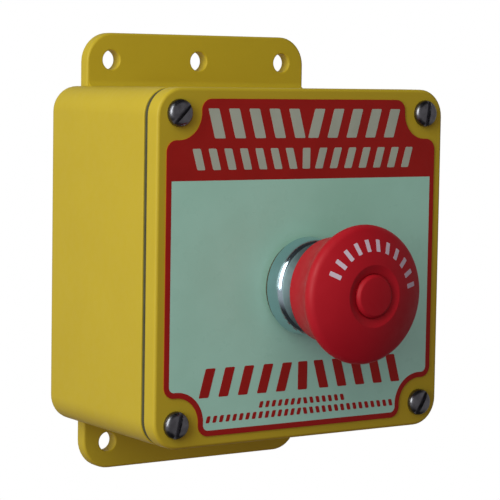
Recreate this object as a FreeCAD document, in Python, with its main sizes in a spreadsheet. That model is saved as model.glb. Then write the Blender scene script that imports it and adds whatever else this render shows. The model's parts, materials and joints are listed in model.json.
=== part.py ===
"""Wall-mounted emergency stop station: moulded enclosure, cover, push-pull mushroom operator and contacts.

The part's frame: +X to the right, +Z up, the front faces -Y, and the origin is the centre of the back face,
on the wall. Every piece is drawn as seen from the front: its own x is to the right, its own y is up and its
own z points at the viewer. Pieces of the enclosure measure z from the wall. Pieces of the operator measure z
from the cover's face, on the button's axis, so what lies behind the face has a negative z. All sizes are in
millimetres.
"""

import FreeCAD
import Part
import Sketcher
import math
import os

# Driving sizes: name, value, what it is
SIZES = [
    ("cover_side", 103.0, "outer side of the cover and of the body at its rim"),
    ("enclosure_depth", 62.2, "wall to the cover's face"),
    ("corner_radius", 8.2, "upright corners of body and cover"),
    ("wall", 3.4, "side wall of the body"),
    ("back_wall", 4.0, "back wall of the body"),
    ("draft_angle", 0.6, "draft of the body's outside, degrees"),
    ("back_round", 3.0, "round between the body's sides and back"),
    ("gasket_thick", 0.8, "thickness of the cover gasket"),
    ("gasket_inset", 0.3, "gasket's edge inside the body's outline"),
    ("cover_depth", 5.8, "depth of the cover, front to rear rim"),
    ("panel_thick", 4.0, "front wall of the cover"),
    ("cover_edge_round", 1.5, "round on the cover's front edge"),
    ("rib_thick", 1.8, "locating ribs of the cover"),
    ("rib_reach", 2.2, "how far the ribs reach into the body"),
    ("rib_gap", 0.3, "clearance of the ribs in the body"),
    ("rib_end_gap", 1.6, "end of a rib to the corner boss"),
    ("flange_width", 81.0, "width of the wall flanges"),
    ("flange_reach", 15.8, "how far a flange stands out above or below the rim"),
    ("flange_thick", 4.3, "thickness of the flanges"),
    ("flange_corner", 9.0, "corners of the flanges"),
    ("flange_edge_round", 1.5, "round on the flanges' front edge"),
    ("flange_hole_radius", 3.0, "wall screw holes"),
    ("flange_hole_spacing", 31.9, "hole to hole along a flange"),
    ("flange_hole_inset", 8.25, "hole centre to the flange's free edge"),
    ("screw_inset", 7.2, "cover screw axis to the cover's side"),
    ("screw_radius", 1.95, "shank of a cover screw"),
    ("screw_play", 0.3, "clearance of a shank in a plain hole"),
    ("screw_short", 0.4, "end of a shank above the end of its insert"),
    ("screw_head_radius", 4.0, "pan head of a cover screw"),
    ("screw_head_height", 2.4, "pan head of a cover screw"),
    ("screw_head_round", 1.9, "round on the pan head"),
    ("slot_width", 1.2, "driver slot of a cover screw"),
    ("slot_depth", 1.1, "driver slot of a cover screw"),
    ("boss_wall", 2.6, "wall of a corner boss round its insert"),
    ("insert_wall", 0.8, "wall of a brass insert"),
    ("insert_length", 8.0, "length of a brass insert"),
    ("insert_room", 1.0, "free depth under an insert"),
    ("thread_gap", 0.05, "clearance at a thread"),
    ("label_margin", 3.15, "cover's edge to the label's edge"),
    ("label_thick", 0.3, "label sheet"),
    ("notch_gap", 4.2, "screw head's edge to the label's notch"),
    ("notch_round", 2.6, "round at the ends of a notch"),
    ("label_hole_gap", 0.5, "barrel to the edge of the label's hole"),
    ("button_drop", 6.3, "button's axis below the middle of the cover"),
    ("barrel_radius", 11.0, "threaded barrel"),
    ("barrel_wall", 1.6, "barrel round the retaining ring's groove"),
    ("barrel_hole_gap", 0.15, "barrel in the cover's hole"),
    ("barrel_lip", 1.8, "how far the barrel's lip stands out past its thread"),
    ("barrel_lip_thick", 2.1, "lip of the barrel"),
    ("barrel_nose", 4.2, "barrel in front of its lip"),
    ("nose_step", 0.6, "nose of the barrel below its thread"),
    ("seal_thick", 1.6, "rubber washer under the lip and the bezel"),
    ("seal_inset", 0.8, "washer's edge inside the bezel's foot"),
    ("bezel_wall", 1.75, "bezel round the lip, at its foot"),
    ("bezel_height", 5.2, "bezel's foot to its ridge"),
    ("bezel_taper", 0.45, "ridge's radius below the foot's"),
    ("bezel_crown", 2.3, "front of the bezel above its ridge"),
    ("bezel_bore_gap", 0.2, "bezel's mouth round the nose"),
    ("ridge_round", 0.9, "round on the bezel's ridge"),
    ("washer_thick", 1.0, "lock washer"),
    ("washer_width", 3.0, "lock washer"),
    ("nut_thick", 4.5, "mounting nut"),
    ("nut_wall", 3.0, "mounting nut at its flats"),
    ("nut_gap", 0.7, "nut to the contact carrier"),
    ("guide_gap", 0.05, "running clearance of the stem"),
    ("travel", 5.5, "push of the button"),
    ("stop_gap", 0.1, "play at the ends of the travel"),
    ("collar_width", 2.3, "stem collar that meets the stops"),
    ("collar_thick", 3.0, "stem collar that meets the stops"),
    ("collar_gap", 0.3, "collar in the barrel"),
    ("circlip_thick", 1.2, "retaining ring in the barrel"),
    ("circlip_grip", 0.8, "how deep the ring sits in its groove"),
    ("circlip_cover", 1.7, "how far the ring overlaps the collar"),
    ("barrel_tail", 0.8, "barrel behind the retaining ring"),
    ("detent_depth", 1.0, "detent ring behind the cover's face"),
    ("detent_wire", 0.55, "radius of the detent ring's wire"),
    ("detent_bite", 0.25, "how deep the wire sits in the stem"),
    ("detent_room", 0.75, "room for the wire to open"),
    ("groove_gap", 0.15, "wire or seal in its groove"),
    ("oring_wire", 0.7, "radius of the O-ring's section"),
    ("oring_inset", 1.8, "O-ring behind the barrel's nose"),
    ("head_radius", 19.9, "rim of the mushroom head"),
    ("head_rise", 14.2, "head's back edge to its rim"),
    ("rim_round", 2.6, "round of the rim"),
    ("skirt_gap", 1.7, "head's back edge to the bezel's ridge when pushed in"),
    ("skirt_over", 1.3, "head's back edge outside the bezel's ridge"),
    ("skirt_wall", 2.2, "head's wall at its back edge"),
    ("dome_radius", 42.9, "domed front of the head"),
    ("head_web", 2.5, "head between the cap and the spigot"),
    ("hub_wall", 3.5, "head's hub round the spigot"),
    ("hub_length", 8.1, "grip of the hub on the spigot"),
    ("hollow_drop", 1.9, "head's hollow below the rim"),
    ("spigot_step", 2.0, "spigot's radius below the stem's"),
    ("cap_radius", 6.2, "cap over the head's screw"),
    ("cap_gap", 0.1, "cap in its recess"),
    ("cap_floor", 2.0, "cap over the screw"),
    ("cap_bevel", 0.8, "bevel at the cap's edge"),
    ("groove_width", 2.6, "ring groove in the head outside the cap"),
    ("groove_depth", 1.1, "ring groove in the head"),
    ("head_screw_radius", 1.5, "screw that holds the head"),
    ("head_screw_head", 2.8, "radius of that screw's head"),
    ("head_screw_height", 1.6, "height of that screw's head"),
    ("head_screw_gap", 0.4, "that screw's head to the cap"),
    ("head_screw_bite", 7.0, "that screw in the stem"),
    ("pusher_gap", 0.8, "barrel to the pusher"),
    ("pusher_thick", 3.0, "disc that pushes the contacts"),
    ("pusher_inset", 0.2, "pusher's edge inside the barrel's thread"),
    ("chamber_gap", 1.2, "pusher in the carrier"),
    ("chamber_rest", 0.5, "pusher to the contact blocks when pushed in"),
    ("carrier_grip", 6.3, "carrier on the barrel"),
    ("carrier_wall", 2.5, "carrier beside the pusher's chamber"),
    ("carrier_round", 2.0, "upright corners of the carrier"),
    ("clamp_radius", 1.5, "carrier's clamp screw"),
    ("clamp_head_radius", 2.75, "carrier's clamp screw"),
    ("clamp_head_height", 2.0, "carrier's clamp screw"),
    ("block_gap", 0.2, "between the two contact blocks"),
    ("block_wall", 1.6, "side wall and side cover of a contact block"),
    ("block_end", 2.0, "front and rear wall of a contact block"),
    ("end_wall", 1.7, "top and bottom wall of a contact block"),
    ("shelf_length", 7.5, "terminal shelf beyond the chamber"),
    ("side_gap", 0.05, "side cover in its opening"),
    ("plunger_radius", 1.6, "contact plunger"),
    ("plunger_gap", 0.1, "plunger in the block's front wall, and to the pusher"),
    ("carriage_lead", 3.0, "chamber's front wall to the carriage"),
    ("carriage_length", 8.0, "plunger's carriage"),
    ("carriage_wall", 0.6, "carriage round the spring's hole"),
    ("carriage_rest", 1.5, "carriage to the rear wall when pushed in"),
    ("bridge_lead", 1.2, "carriage's front to the contact bridge"),
    ("bridge_thick", 0.8, "moving contact bridge"),
    ("bridge_half", 1.5, "half width of a bridge and of a terminal strip"),
    ("bridge_reach", 8.4, "half length of a bridge"),
    ("bridge_gap", 2.4, "bridge's end to the end wall"),
    ("tip_radius", 1.1, "contact tips"),
    ("tip_thick", 0.8, "contact tips"),
    ("tip_inset", 1.4, "tip's middle to the end of its strip"),
    ("tip_gap", 0.05, "closed contacts"),
    ("strip_thick", 0.8, "terminal strips"),
    ("strip_margin", 0.6, "strip's end to the shelf's end"),
    ("spring_wall", 1.5, "carriage between the bridge and the spring"),
    ("spring_radius", 1.7, "middle of the spring's wire"),
    ("spring_wire", 0.25, "radius of the spring's wire"),
    ("spring_gap", 0.25, "spring in its hole, and at its ends"),
    ("spring_turns", 5.0, "turns of the spring"),
    ("terminal_screw_radius", 1.4, "terminal screws"),
    ("terminal_screw_bite", 3.1, "terminal screws in their shelf"),
    ("terminal_head_radius", 2.6, "terminal screws"),
    ("terminal_head_height", 1.8, "terminal screws"),
]

# Turn of each cover screw's slot, in degrees, by its side and height
SLOT_TURNS = {(-1, 1): 45.0, (1, 1): 82.0, (-1, -1): 76.0, (1, -1): 60.0}
FRONT_VIEW = FreeCAD.Rotation(FreeCAD.Vector(1, 0, 0), 90)
BACK_VIEW = FreeCAD.Rotation(FreeCAD.Vector(1, 0, 0), -90)
RIGHT_VIEW = FreeCAD.Rotation(FreeCAD.Vector(0, 1, 0), 90)
UPWARDS = FreeCAD.Vector(0, 0, 1)
HEXAGON = [math.radians(60.0 * step) for step in range(6)]
TOLERANCE = 0.01


class Size:
    """A length that knows both its value and the formula that ties it to the sheet."""

    def __init__(self, value, formula):
        self.value = float(value)
        self.formula = formula

    def __add__(self, other):
        other = as_size(other)
        return Size(self.value + other.value, f"({self.formula} + {other.formula})")

    def __sub__(self, other):
        other = as_size(other)
        return Size(self.value - other.value, f"({self.formula} - {other.formula})")

    def __mul__(self, other):
        other = as_size(other)
        return Size(self.value * other.value, f"({self.formula} * {other.formula})")

    def __truediv__(self, other):
        other = as_size(other)
        return Size(self.value / other.value, f"({self.formula} / {other.formula})")

    def __neg__(self):
        return as_size(0) - self


def as_size(value):
    """A plain number becomes a Size with a constant formula."""
    return value if isinstance(value, Size) else Size(value, repr(float(value)))


def root(length):
    """Square root of a Size."""
    return Size(math.sqrt(length.value), f"sqrt({length.formula})")


class Sheet:
    """The document's sheet of driving sizes, which gives each cell as a Size by its alias."""

    def __init__(self, document):
        self.cells = document.addObject("Spreadsheet::Sheet", "Sizes")
        for row, (alias, value, note) in enumerate(SIZES, start=1):
            self.cells.set(f"A{row}", note)
            self.cells.set(f"B{row}", repr(value))
            self.cells.setAlias(f"B{row}", alias)
        document.recompute()

    def __getattr__(self, alias):
        return Size(self.cells.get(alias), f"Sizes.{alias}")


doc = FreeCAD.newDocument("EmergencyStopStation")
size = Sheet(doc)
pieces = []
ZERO = as_size(0)

# Radii of the operator's fixed pieces
lip_radius = size.barrel_radius + size.barrel_lip
nose_radius = size.barrel_radius - size.nose_step
bezel_foot = lip_radius + size.bezel_wall
bezel_ridge = bezel_foot - size.bezel_taper
clip_radius = size.barrel_radius - size.barrel_wall
collar_bore = clip_radius - size.circlip_grip
collar_radius = collar_bore - size.collar_gap
stem_radius = collar_radius - size.collar_width
guide_radius = stem_radius + size.guide_gap
spigot_radius = stem_radius - size.spigot_step
pusher_radius = size.barrel_radius - size.pusher_inset
chamber_radius = pusher_radius + size.chamber_gap
carrier_half = chamber_radius + size.carrier_wall

# Heights in front of the cover's face
lip_back = size.label_thick + size.seal_thick
lip_front = lip_back + size.barrel_lip_thick
nose_front = lip_front + size.barrel_nose
oring_height = nose_front - size.oring_inset
ridge_height = lip_back + size.bezel_height
skirt_height = ridge_height + size.travel + size.skirt_gap
rim_height = skirt_height + size.head_rise

# The head's dome is a sphere that runs tangent into the round of the rim
rim_centre = size.head_radius - size.rim_round
dome_to_rim = size.dome_radius - size.rim_round
dome_centre = rim_height - root(dome_to_rim * dome_to_rim - rim_centre * rim_centre)
dome_top = dome_centre + size.dome_radius
cap_back = dome_top - size.cap_floor - size.head_screw_gap - size.head_screw_height
spigot_front = cap_back - size.head_web
stem_shoulder = spigot_front - size.hub_length

# Depths behind the cover's face
nut_front = size.panel_thick + size.washer_thick
carrier_front = nut_front + size.nut_thick + size.nut_gap
barrel_end = carrier_front + size.carrier_grip
clip_back = barrel_end - size.barrel_tail
clip_front = clip_back - size.circlip_thick
collar_back = clip_front - size.stop_gap - size.travel
collar_front = collar_back - size.collar_thick
guide_end = collar_front - size.stop_gap
clamp_depth = (carrier_front + barrel_end) / 2
pusher_front = barrel_end + size.pusher_gap
pusher_back = pusher_front + size.pusher_thick
block_front = pusher_back + size.travel + size.chamber_rest

# The contact blocks stand behind the pusher's two halves, and count their depths from their own front
block_at = pusher_radius / 2
block_half_width = block_at - size.block_gap / 2
spring_bore = size.spring_radius + size.spring_wire + size.spring_gap
carriage_half = spring_bore + size.carriage_wall
chamber_half = size.bridge_reach + size.bridge_gap
block_half = chamber_half + size.end_wall
shelf_end = block_half + size.shelf_length
carriage_front = size.block_end + size.carriage_lead
carriage_back = carriage_front + size.carriage_length
chamber_back = carriage_back + size.travel + size.carriage_rest
block_depth = chamber_back + size.block_end
bridge_front = carriage_front + size.bridge_lead
bridge_back = bridge_front + size.bridge_thick
spring_front = bridge_back + size.spring_wall

# Heights above the wall
face = size.enclosure_depth
panel_back = face - size.panel_thick
cover_back = face - size.cover_depth
rim = cover_back - size.gasket_thick

# Places on the cover's face
half_side = size.cover_side / 2
inner_half = half_side - size.wall
inner_corner = size.corner_radius - size.wall
screw_at = half_side - size.screw_inset
insert_bore = size.screw_radius + size.thread_gap
insert_radius = insert_bore + size.insert_wall
boss_radius = insert_radius + size.boss_wall
screw_hole = size.screw_radius + size.screw_play
flange_top = half_side + size.flange_reach
flange_hole_at = flange_top - size.flange_hole_inset


# Bodies and sketches


def place(piece, x, y, z, rotation=FRONT_VIEW):
    """Puts a piece at a place of the part's frame, each coordinate tied to its sizes."""
    x, y, z = as_size(x), as_size(y), as_size(z)
    piece.Placement = FreeCAD.Placement(FreeCAD.Vector(x.value, y.value, z.value), rotation)
    piece.setExpression("Placement.Base.x", x.formula)
    piece.setExpression("Placement.Base.y", y.formula)
    piece.setExpression("Placement.Base.z", z.formula)


def keep(piece):
    """Marks an object as one of the finished pieces."""
    pieces.append(piece)
    return piece


def new_body(name):
    """An empty body that is still to be placed."""
    body = doc.addObject("PartDesign::Body", name)
    body.Label = name
    return body


def station_body(name):
    """A body whose z starts at the wall."""
    body = new_body(name)
    place(body, 0, 0, 0)
    return body


def operator_body(name, x=ZERO):
    """A body on the button's axis, or beside it, whose z starts at the cover's face."""
    body = new_body(name)
    place(body, x, -face, -size.button_drop)
    return body


def new_sketch(body, role, level):
    """A sketch on one of the body's own planes, moved along the plane's normal."""
    sketch = body.newObject("Sketcher::SketchObject", f"{body.Name}_sketch")
    planes = {plane.Role: plane for plane in body.Origin.OriginFeatures}
    sketch.AttachmentSupport = [(planes[role], "")]
    sketch.MapMode = "FlatFace"
    sketch.AttachmentOffset = FreeCAD.Placement(UPWARDS * level.value, FreeCAD.Rotation())
    sketch.setExpression("AttachmentOffset.Base.z", level.formula)
    return sketch


def tie(sketch, kind, *where, to):
    """Adds a dimension to a sketch and ties it to a Size."""
    index = sketch.addConstraint(Sketcher.Constraint(kind, *where, to.value))
    sketch.setExpression(f"Constraints[{index}]", to.formula)


def tie_point(sketch, curve, end, x, y):
    """Ties one point of a curve to its two coordinates."""
    tie(sketch, "DistanceX", -1, 1, curve, end, to=x)
    tie(sketch, "DistanceY", -1, 1, curve, end, to=y)


def draw_circle(sketch, x, y, radius):
    """A circle tied to its centre and radius."""
    x, y = as_size(x), as_size(y)
    centre = FreeCAD.Vector(x.value, y.value, 0)
    curve = sketch.addGeometry(Part.Circle(centre, UPWARDS, radius.value))
    tie_point(sketch, curve, 3, x, y)
    tie(sketch, "Radius", curve, to=radius)


def bend(start, end, radius, outwards):
    """An arc between two points of an anticlockwise loop, and which of its ends come first and last."""
    chord = end - start
    normal = FreeCAD.Vector(-chord.y, chord.x, 0).normalize()
    rise = math.sqrt(max(radius**2 - chord.Length**2 / 4, 0.0))
    centre = (start + end) * 0.5 + normal * (rise if outwards else -rise)
    first, last = (start, end) if outwards else (end, start)
    angles = [math.atan2(point.y - centre.y, point.x - centre.x) for point in (first, last)]
    arc = Part.ArcOfCircle(Part.Circle(centre, UPWARDS, radius), *angles)
    return arc, (1, 2) if outwards else (2, 1)


def draw_loop(sketch, points, arcs=None):
    """A closed anticlockwise loop through points.

    arcs gives, for the stretch that starts at a point's index, its radius and whether it swells outwards.
    """
    arcs = arcs or {}
    points = [(as_size(x), as_size(y)) for x, y in points]
    spots = [FreeCAD.Vector(x.value, y.value, 0) for x, y in points]
    drawn = []
    for index, start in enumerate(spots):
        end = spots[(index + 1) % len(spots)]
        if index in arcs:
            radius, outwards = arcs[index]
            curve, ends = bend(start, end, radius.value, outwards)
        else:
            curve, ends = Part.LineSegment(start, end), (1, 2)
        drawn.append((sketch.addGeometry(curve), ends))
    for index, (curve, ends) in enumerate(drawn):
        after, after_ends = drawn[(index + 1) % len(drawn)]
        sketch.addConstraint(Sketcher.Constraint("Coincident", curve, ends[1], after, after_ends[0]))
        tie_point(sketch, curve, ends[0], *points[index])
    for index, (radius, outwards) in arcs.items():
        tie(sketch, "Radius", drawn[index][0], to=radius)


def draw_box(sketch, low_x, low_y, high_x, high_y):
    """A rectangle between two corners."""
    draw_loop(sketch, [(low_x, low_y), (high_x, low_y), (high_x, high_y), (low_x, high_y)])


def draw_round_box(sketch, half_x, half_y, radius):
    """A rectangle about the origin with round corners."""
    in_x = half_x - radius
    in_y = half_y - radius
    points = [
        (-in_x, -half_y),
        (in_x, -half_y),
        (half_x, -in_y),
        (half_x, in_y),
        (in_x, half_y),
        (-in_x, half_y),
        (-half_x, in_y),
        (-half_x, -in_y),
    ]
    draw_loop(sketch, points, {index: (radius, True) for index in (1, 3, 5, 7)})


def draw_outside(sketch):
    """The outline of the cover, and of the body at its rim."""
    draw_round_box(sketch, half_side, half_side, size.corner_radius)


def draw_inside(sketch):
    """The outline of the hollow in the body and in the cover."""
    draw_round_box(sketch, inner_half, inner_half, inner_corner)


def draw_at_screws(sketch, *radii):
    """Circles of each radius round all four cover screws."""
    for x in (-screw_at, screw_at):
        for y in (-screw_at, screw_at):
            for radius in radii:
                draw_circle(sketch, x, y, radius)


def draw_pair(sketch, y, radius):
    """Two circles above and below the middle."""
    draw_circle(sketch, 0, -y, radius)
    draw_circle(sketch, 0, y, radius)


# Features


def extrude(body, kind, draw, start, end, role):
    """Pads or pockets what draw puts in a sketch, from one level to another along the plane's normal."""
    sketch = new_sketch(body, role, start)
    draw(sketch)
    feature = body.newObject(f"PartDesign::{kind}", f"{body.Name}_{kind.lower()}")
    feature.Profile = sketch
    forwards = end.value > start.value
    length = end - start if forwards else start - end
    feature.Length = length.value
    feature.setExpression("Length", length.formula)
    feature.Reversed = forwards if kind == "Pocket" else not forwards
    doc.recompute()
    return feature


def pad(body, draw, start, end, role="XY_Plane"):
    """Adds material from one level to another."""
    return extrude(body, "Pad", draw, start, end, role)


def pocket(body, draw, start, end, role="XY_Plane"):
    """Cuts material away from one level to another, and makes sure that something was cut."""
    before = body.Shape.Volume
    feature = extrude(body, "Pocket", draw, start, end, role)
    if body.Shape.Volume >= before:
        raise RuntimeError(f"{feature.Label} cuts nothing")
    return feature


def revolve(body, points, arcs=None):
    """Turns a profile of (radius, height) points about the body's z axis."""
    sketch = new_sketch(body, "XZ_Plane", ZERO)
    draw_loop(sketch, points, arcs)
    feature = body.newObject("PartDesign::Revolution", f"{body.Name}_turned")
    feature.Profile = sketch
    feature.ReferenceAxis = (sketch, ["V_Axis"])
    feature.Angle = 360.0
    doc.recompute()
    return feature


def fillet(body, wanted, radius):
    """Rounds the edges of the body's last feature that pass a test."""
    base = body.Tip
    edges = enumerate(base.Shape.Edges, start=1)
    names = [f"Edge{number}" for number, edge in edges if wanted(edge.BoundBox)]
    feature = body.newObject("PartDesign::Fillet", f"{body.Name}_fillet")
    feature.Base = (base, names)
    feature.Radius = radius.value
    feature.setExpression("Radius", radius.formula)
    doc.recompute()
    return feature


def at_level(box, level):
    """True for the box of an edge that lies flat at a height."""
    return max(abs(box.ZMin - level.value), abs(box.ZMax - level.value)) < TOLERANCE


def is_circle(box, radius, level):
    """True for the box of a round edge about the z axis."""
    return at_level(box, level) and abs(box.XMax - radius.value) < TOLERANCE


def is_upright(box):
    """True for the box of a straight edge along z."""
    return max(box.XLength, box.YLength) < TOLERANCE


def ring(name, inner, outer, back, front):
    """A flat ring on the button's axis."""
    body = operator_body(name)

    def outline(sketch):
        draw_circle(sketch, 0, 0, outer)
        draw_circle(sketch, 0, 0, inner)

    pad(body, outline, back, front)
    return keep(body)


def round_ring(name, inner, wire, height):
    """A ring of round section on the button's axis."""
    piece = doc.addObject("Part::Torus", name)
    piece.Label = name
    piece.setExpression("Radius1", (inner + wire).formula)
    piece.setExpression("Radius2", wire.formula)
    place(piece, 0, -face - height, -size.button_drop)
    return keep(piece)


def group(name, members):
    """Several solids of one kind kept as one piece."""
    piece = doc.addObject("Part::Compound", name)
    piece.Label = name
    piece.Links = members
    doc.recompute()
    return keep(piece)


def screw(name, shank, length, head, height):
    """A screw along z with its head's underside at z = 0, still to be placed."""
    body = new_body(name)
    points = [(ZERO, -length), (shank, -length), (shank, ZERO), (head, ZERO), (head, height), (ZERO, height)]
    revolve(body, points)
    return body


# Enclosure


def build_enclosure_body():
    """Drafted box with two wall flanges, corner bosses and six wall screw holes."""
    body = station_body("enclosure_body")
    shell = pad(body, draw_outside, rim, ZERO)
    shell.TaperAngle = -size.draft_angle.value
    shell.setExpression("TaperAngle", (-size.draft_angle).formula)
    doc.recompute()
    fillet(body, lambda box: at_level(box, ZERO), size.back_round)

    def flange(sketch):
        draw_round_box(sketch, size.flange_width / 2, flange_top, size.flange_corner)

    pad(body, flange, ZERO, size.flange_thick)

    def is_free(box):
        return at_level(box, size.flange_thick) and max(box.YMax, -box.YMin) > half_side.value

    fillet(body, is_free, size.flange_edge_round)
    pocket(body, draw_inside, rim, size.back_wall)
    pad(body, lambda sketch: draw_at_screws(sketch, boss_radius), size.back_wall / 2, rim)
    insert_floor = rim - size.insert_length - size.insert_room
    pocket(body, lambda sketch: draw_at_screws(sketch, insert_radius), rim, insert_floor)

    def wall_holes(sketch):
        for y in (-flange_hole_at, flange_hole_at):
            for x in (-size.flange_hole_spacing, ZERO, size.flange_hole_spacing):
                draw_circle(sketch, x, y, size.flange_hole_radius)

    pocket(body, wall_holes, size.flange_thick, ZERO)
    return keep(body)


def build_inserts():
    """Four brass inserts in the corner bosses."""
    body = station_body("threaded_inserts")
    foot = rim - size.insert_length
    pad(body, lambda sketch: draw_at_screws(sketch, insert_radius, insert_bore), foot, rim)
    return keep(body)


def build_gasket():
    """Flat gasket on the body's rim, with an eye round each screw."""
    body = station_body("cover_gasket")
    outer = half_side - size.gasket_inset

    def band(sketch):
        draw_round_box(sketch, outer, outer, size.corner_radius - size.gasket_inset)
        draw_inside(sketch)

    pad(body, band, rim, cover_back)
    pad(body, lambda sketch: draw_at_screws(sketch, boss_radius), rim, cover_back)
    pocket(body, lambda sketch: draw_at_screws(sketch, screw_hole), cover_back, rim)
    return keep(body)


def build_cover():
    """Lid with rounded front edge, hollow back, screw pads, locating ribs and the operator's hole."""
    body = station_body("front_cover")
    pad(body, draw_outside, cover_back, face)
    fillet(body, lambda box: at_level(box, face), size.cover_edge_round)
    pocket(body, draw_inside, cover_back, panel_back)
    panel_middle = face - size.panel_thick / 2
    pad(body, lambda sketch: draw_at_screws(sketch, boss_radius), cover_back, panel_middle)
    rib_out = inner_half - size.rib_gap
    rib_in = rib_out - size.rib_thick
    rib_half = screw_at - boss_radius - size.rib_end_gap

    def ribs(sketch):
        draw_box(sketch, -rib_half, rib_in, rib_half, rib_out)
        draw_box(sketch, -rib_half, -rib_out, rib_half, -rib_in)
        draw_box(sketch, rib_in, -rib_half, rib_out, rib_half)
        draw_box(sketch, -rib_out, -rib_half, -rib_in, rib_half)

    pad(body, ribs, rim - size.rib_reach, panel_middle)

    def holes(sketch):
        draw_at_screws(sketch, screw_hole)
        draw_circle(sketch, 0, -size.button_drop, size.barrel_radius + size.barrel_hole_gap)

    pocket(body, holes, face, cover_back)
    return keep(body)


def build_cover_screws():
    """Four slotted pan-head screws, each with its own turn of the slot."""
    length = size.cover_depth + size.gasket_thick + size.insert_length - size.screw_short
    slot_half = size.screw_head_radius + size.slot_width

    def is_edge(box):
        return is_circle(box, size.screw_head_radius, size.screw_head_height)

    def slot(sketch):
        draw_box(sketch, -slot_half, -size.slot_width / 2, slot_half, size.slot_width / 2)

    members = []
    for (side, height), turn in SLOT_TURNS.items():
        body = screw("cover_screw", size.screw_radius, length, size.screw_head_radius, size.screw_head_height)
        fillet(body, is_edge, size.screw_head_round)
        pocket(body, slot, size.screw_head_height, size.screw_head_height - size.slot_depth)
        spin = FreeCAD.Rotation(UPWARDS, turn)
        place(body, screw_at * side, -face, screw_at * height, FRONT_VIEW.multiply(spin))
        members.append(body)
    return group("cover_screws", members)


def build_label():
    """Thin label with a round notch at each screw and a hole for the barrel."""
    body = station_body("face_label")
    half = half_side - size.label_margin
    front = face + size.label_thick
    notch = size.screw_head_radius + size.notch_gap
    hole = size.barrel_radius + size.label_hole_gap
    pad(body, lambda sketch: draw_box(sketch, -half, -half, half, half), face, front)
    pocket(body, lambda sketch: draw_at_screws(sketch, notch), front, face)
    fillet(body, is_upright, size.notch_round)
    pocket(body, lambda sketch: draw_circle(sketch, 0, -size.button_drop, hole), front, face)
    return keep(body)


# Operator, fixed in the cover


def build_bezel():
    """Collar with a tapered wall, a rounded ridge and a conical front, closed over the barrel's lip."""
    body = operator_body("bezel_ring")
    mouth = nose_radius + size.bezel_bore_gap
    points = [
        (lip_radius, lip_back),
        (bezel_foot, lip_back),
        (bezel_ridge, ridge_height),
        (mouth, ridge_height + size.bezel_crown),
        (mouth, lip_front),
        (lip_radius, lip_front),
    ]
    revolve(body, points)
    fillet(body, lambda box: is_circle(box, bezel_ridge, ridge_height), size.ridge_round)
    return keep(body)


def build_barrel():
    """Threaded barrel: lip, nose, stem guide with two ring grooves, and a bore for the stem's collar."""
    body = operator_body("operator_barrel")
    oring_half = size.oring_wire + size.groove_gap
    oring_floor = guide_radius + size.oring_wire * 2 + size.groove_gap
    detent_half = size.detent_wire + size.groove_gap
    detent_floor = stem_radius - size.detent_bite + size.detent_wire * 2 + size.detent_room
    points = [
        (collar_bore, -barrel_end),
        (size.barrel_radius, -barrel_end),
        (size.barrel_radius, lip_back),
        (lip_radius, lip_back),
        (lip_radius, lip_front),
        (nose_radius, lip_front),
        (nose_radius, nose_front),
        (guide_radius, nose_front),
        (guide_radius, oring_height + oring_half),
        (oring_floor, oring_height + oring_half),
        (oring_floor, oring_height - oring_half),
        (guide_radius, oring_height - oring_half),
        (guide_radius, detent_half - size.detent_depth),
        (detent_floor, detent_half - size.detent_depth),
        (detent_floor, -detent_half - size.detent_depth),
        (guide_radius, -detent_half - size.detent_depth),
        (guide_radius, -guide_end),
        (collar_bore, -guide_end),
        (collar_bore, -clip_front),
        (clip_radius, -clip_front),
        (clip_radius, -clip_back),
        (collar_bore, -clip_back),
    ]
    revolve(body, points)
    return keep(body)


def build_nut():
    """Hexagon nut on the barrel, behind the cover."""
    body = operator_body("mounting_nut")
    corner = (size.barrel_radius + size.nut_wall) / math.cos(math.pi / len(HEXAGON))

    def outline(sketch):
        draw_loop(sketch, [(corner * math.cos(turn), corner * math.sin(turn)) for turn in HEXAGON])
        draw_circle(sketch, 0, 0, size.barrel_radius)

    pad(body, outline, -nut_front - size.nut_thick, -nut_front)
    return keep(body)


def build_operator():
    """Everything of the operator that stays with the cover."""
    build_bezel()
    build_barrel()
    ring("panel_seal", size.barrel_radius, bezel_foot - size.seal_inset, size.label_thick, lip_back)
    round_ring("stem_seal", guide_radius, size.oring_wire, oring_height)
    round_ring("detent_ring", stem_radius - size.detent_bite, size.detent_wire, -size.detent_depth)
    ring("barrel_circlip", collar_radius - size.circlip_cover, clip_radius, -clip_back, -clip_front)
    washer_radius = size.barrel_radius + size.washer_width
    ring("lock_washer", size.barrel_radius, washer_radius, -nut_front, -size.panel_thick)
    build_nut()


# Button, which slides


def dome_height(radius):
    """Height of the head's dome at a radius, above the cover's face."""
    return dome_centre + root(size.dome_radius * size.dome_radius - radius * radius)


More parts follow.
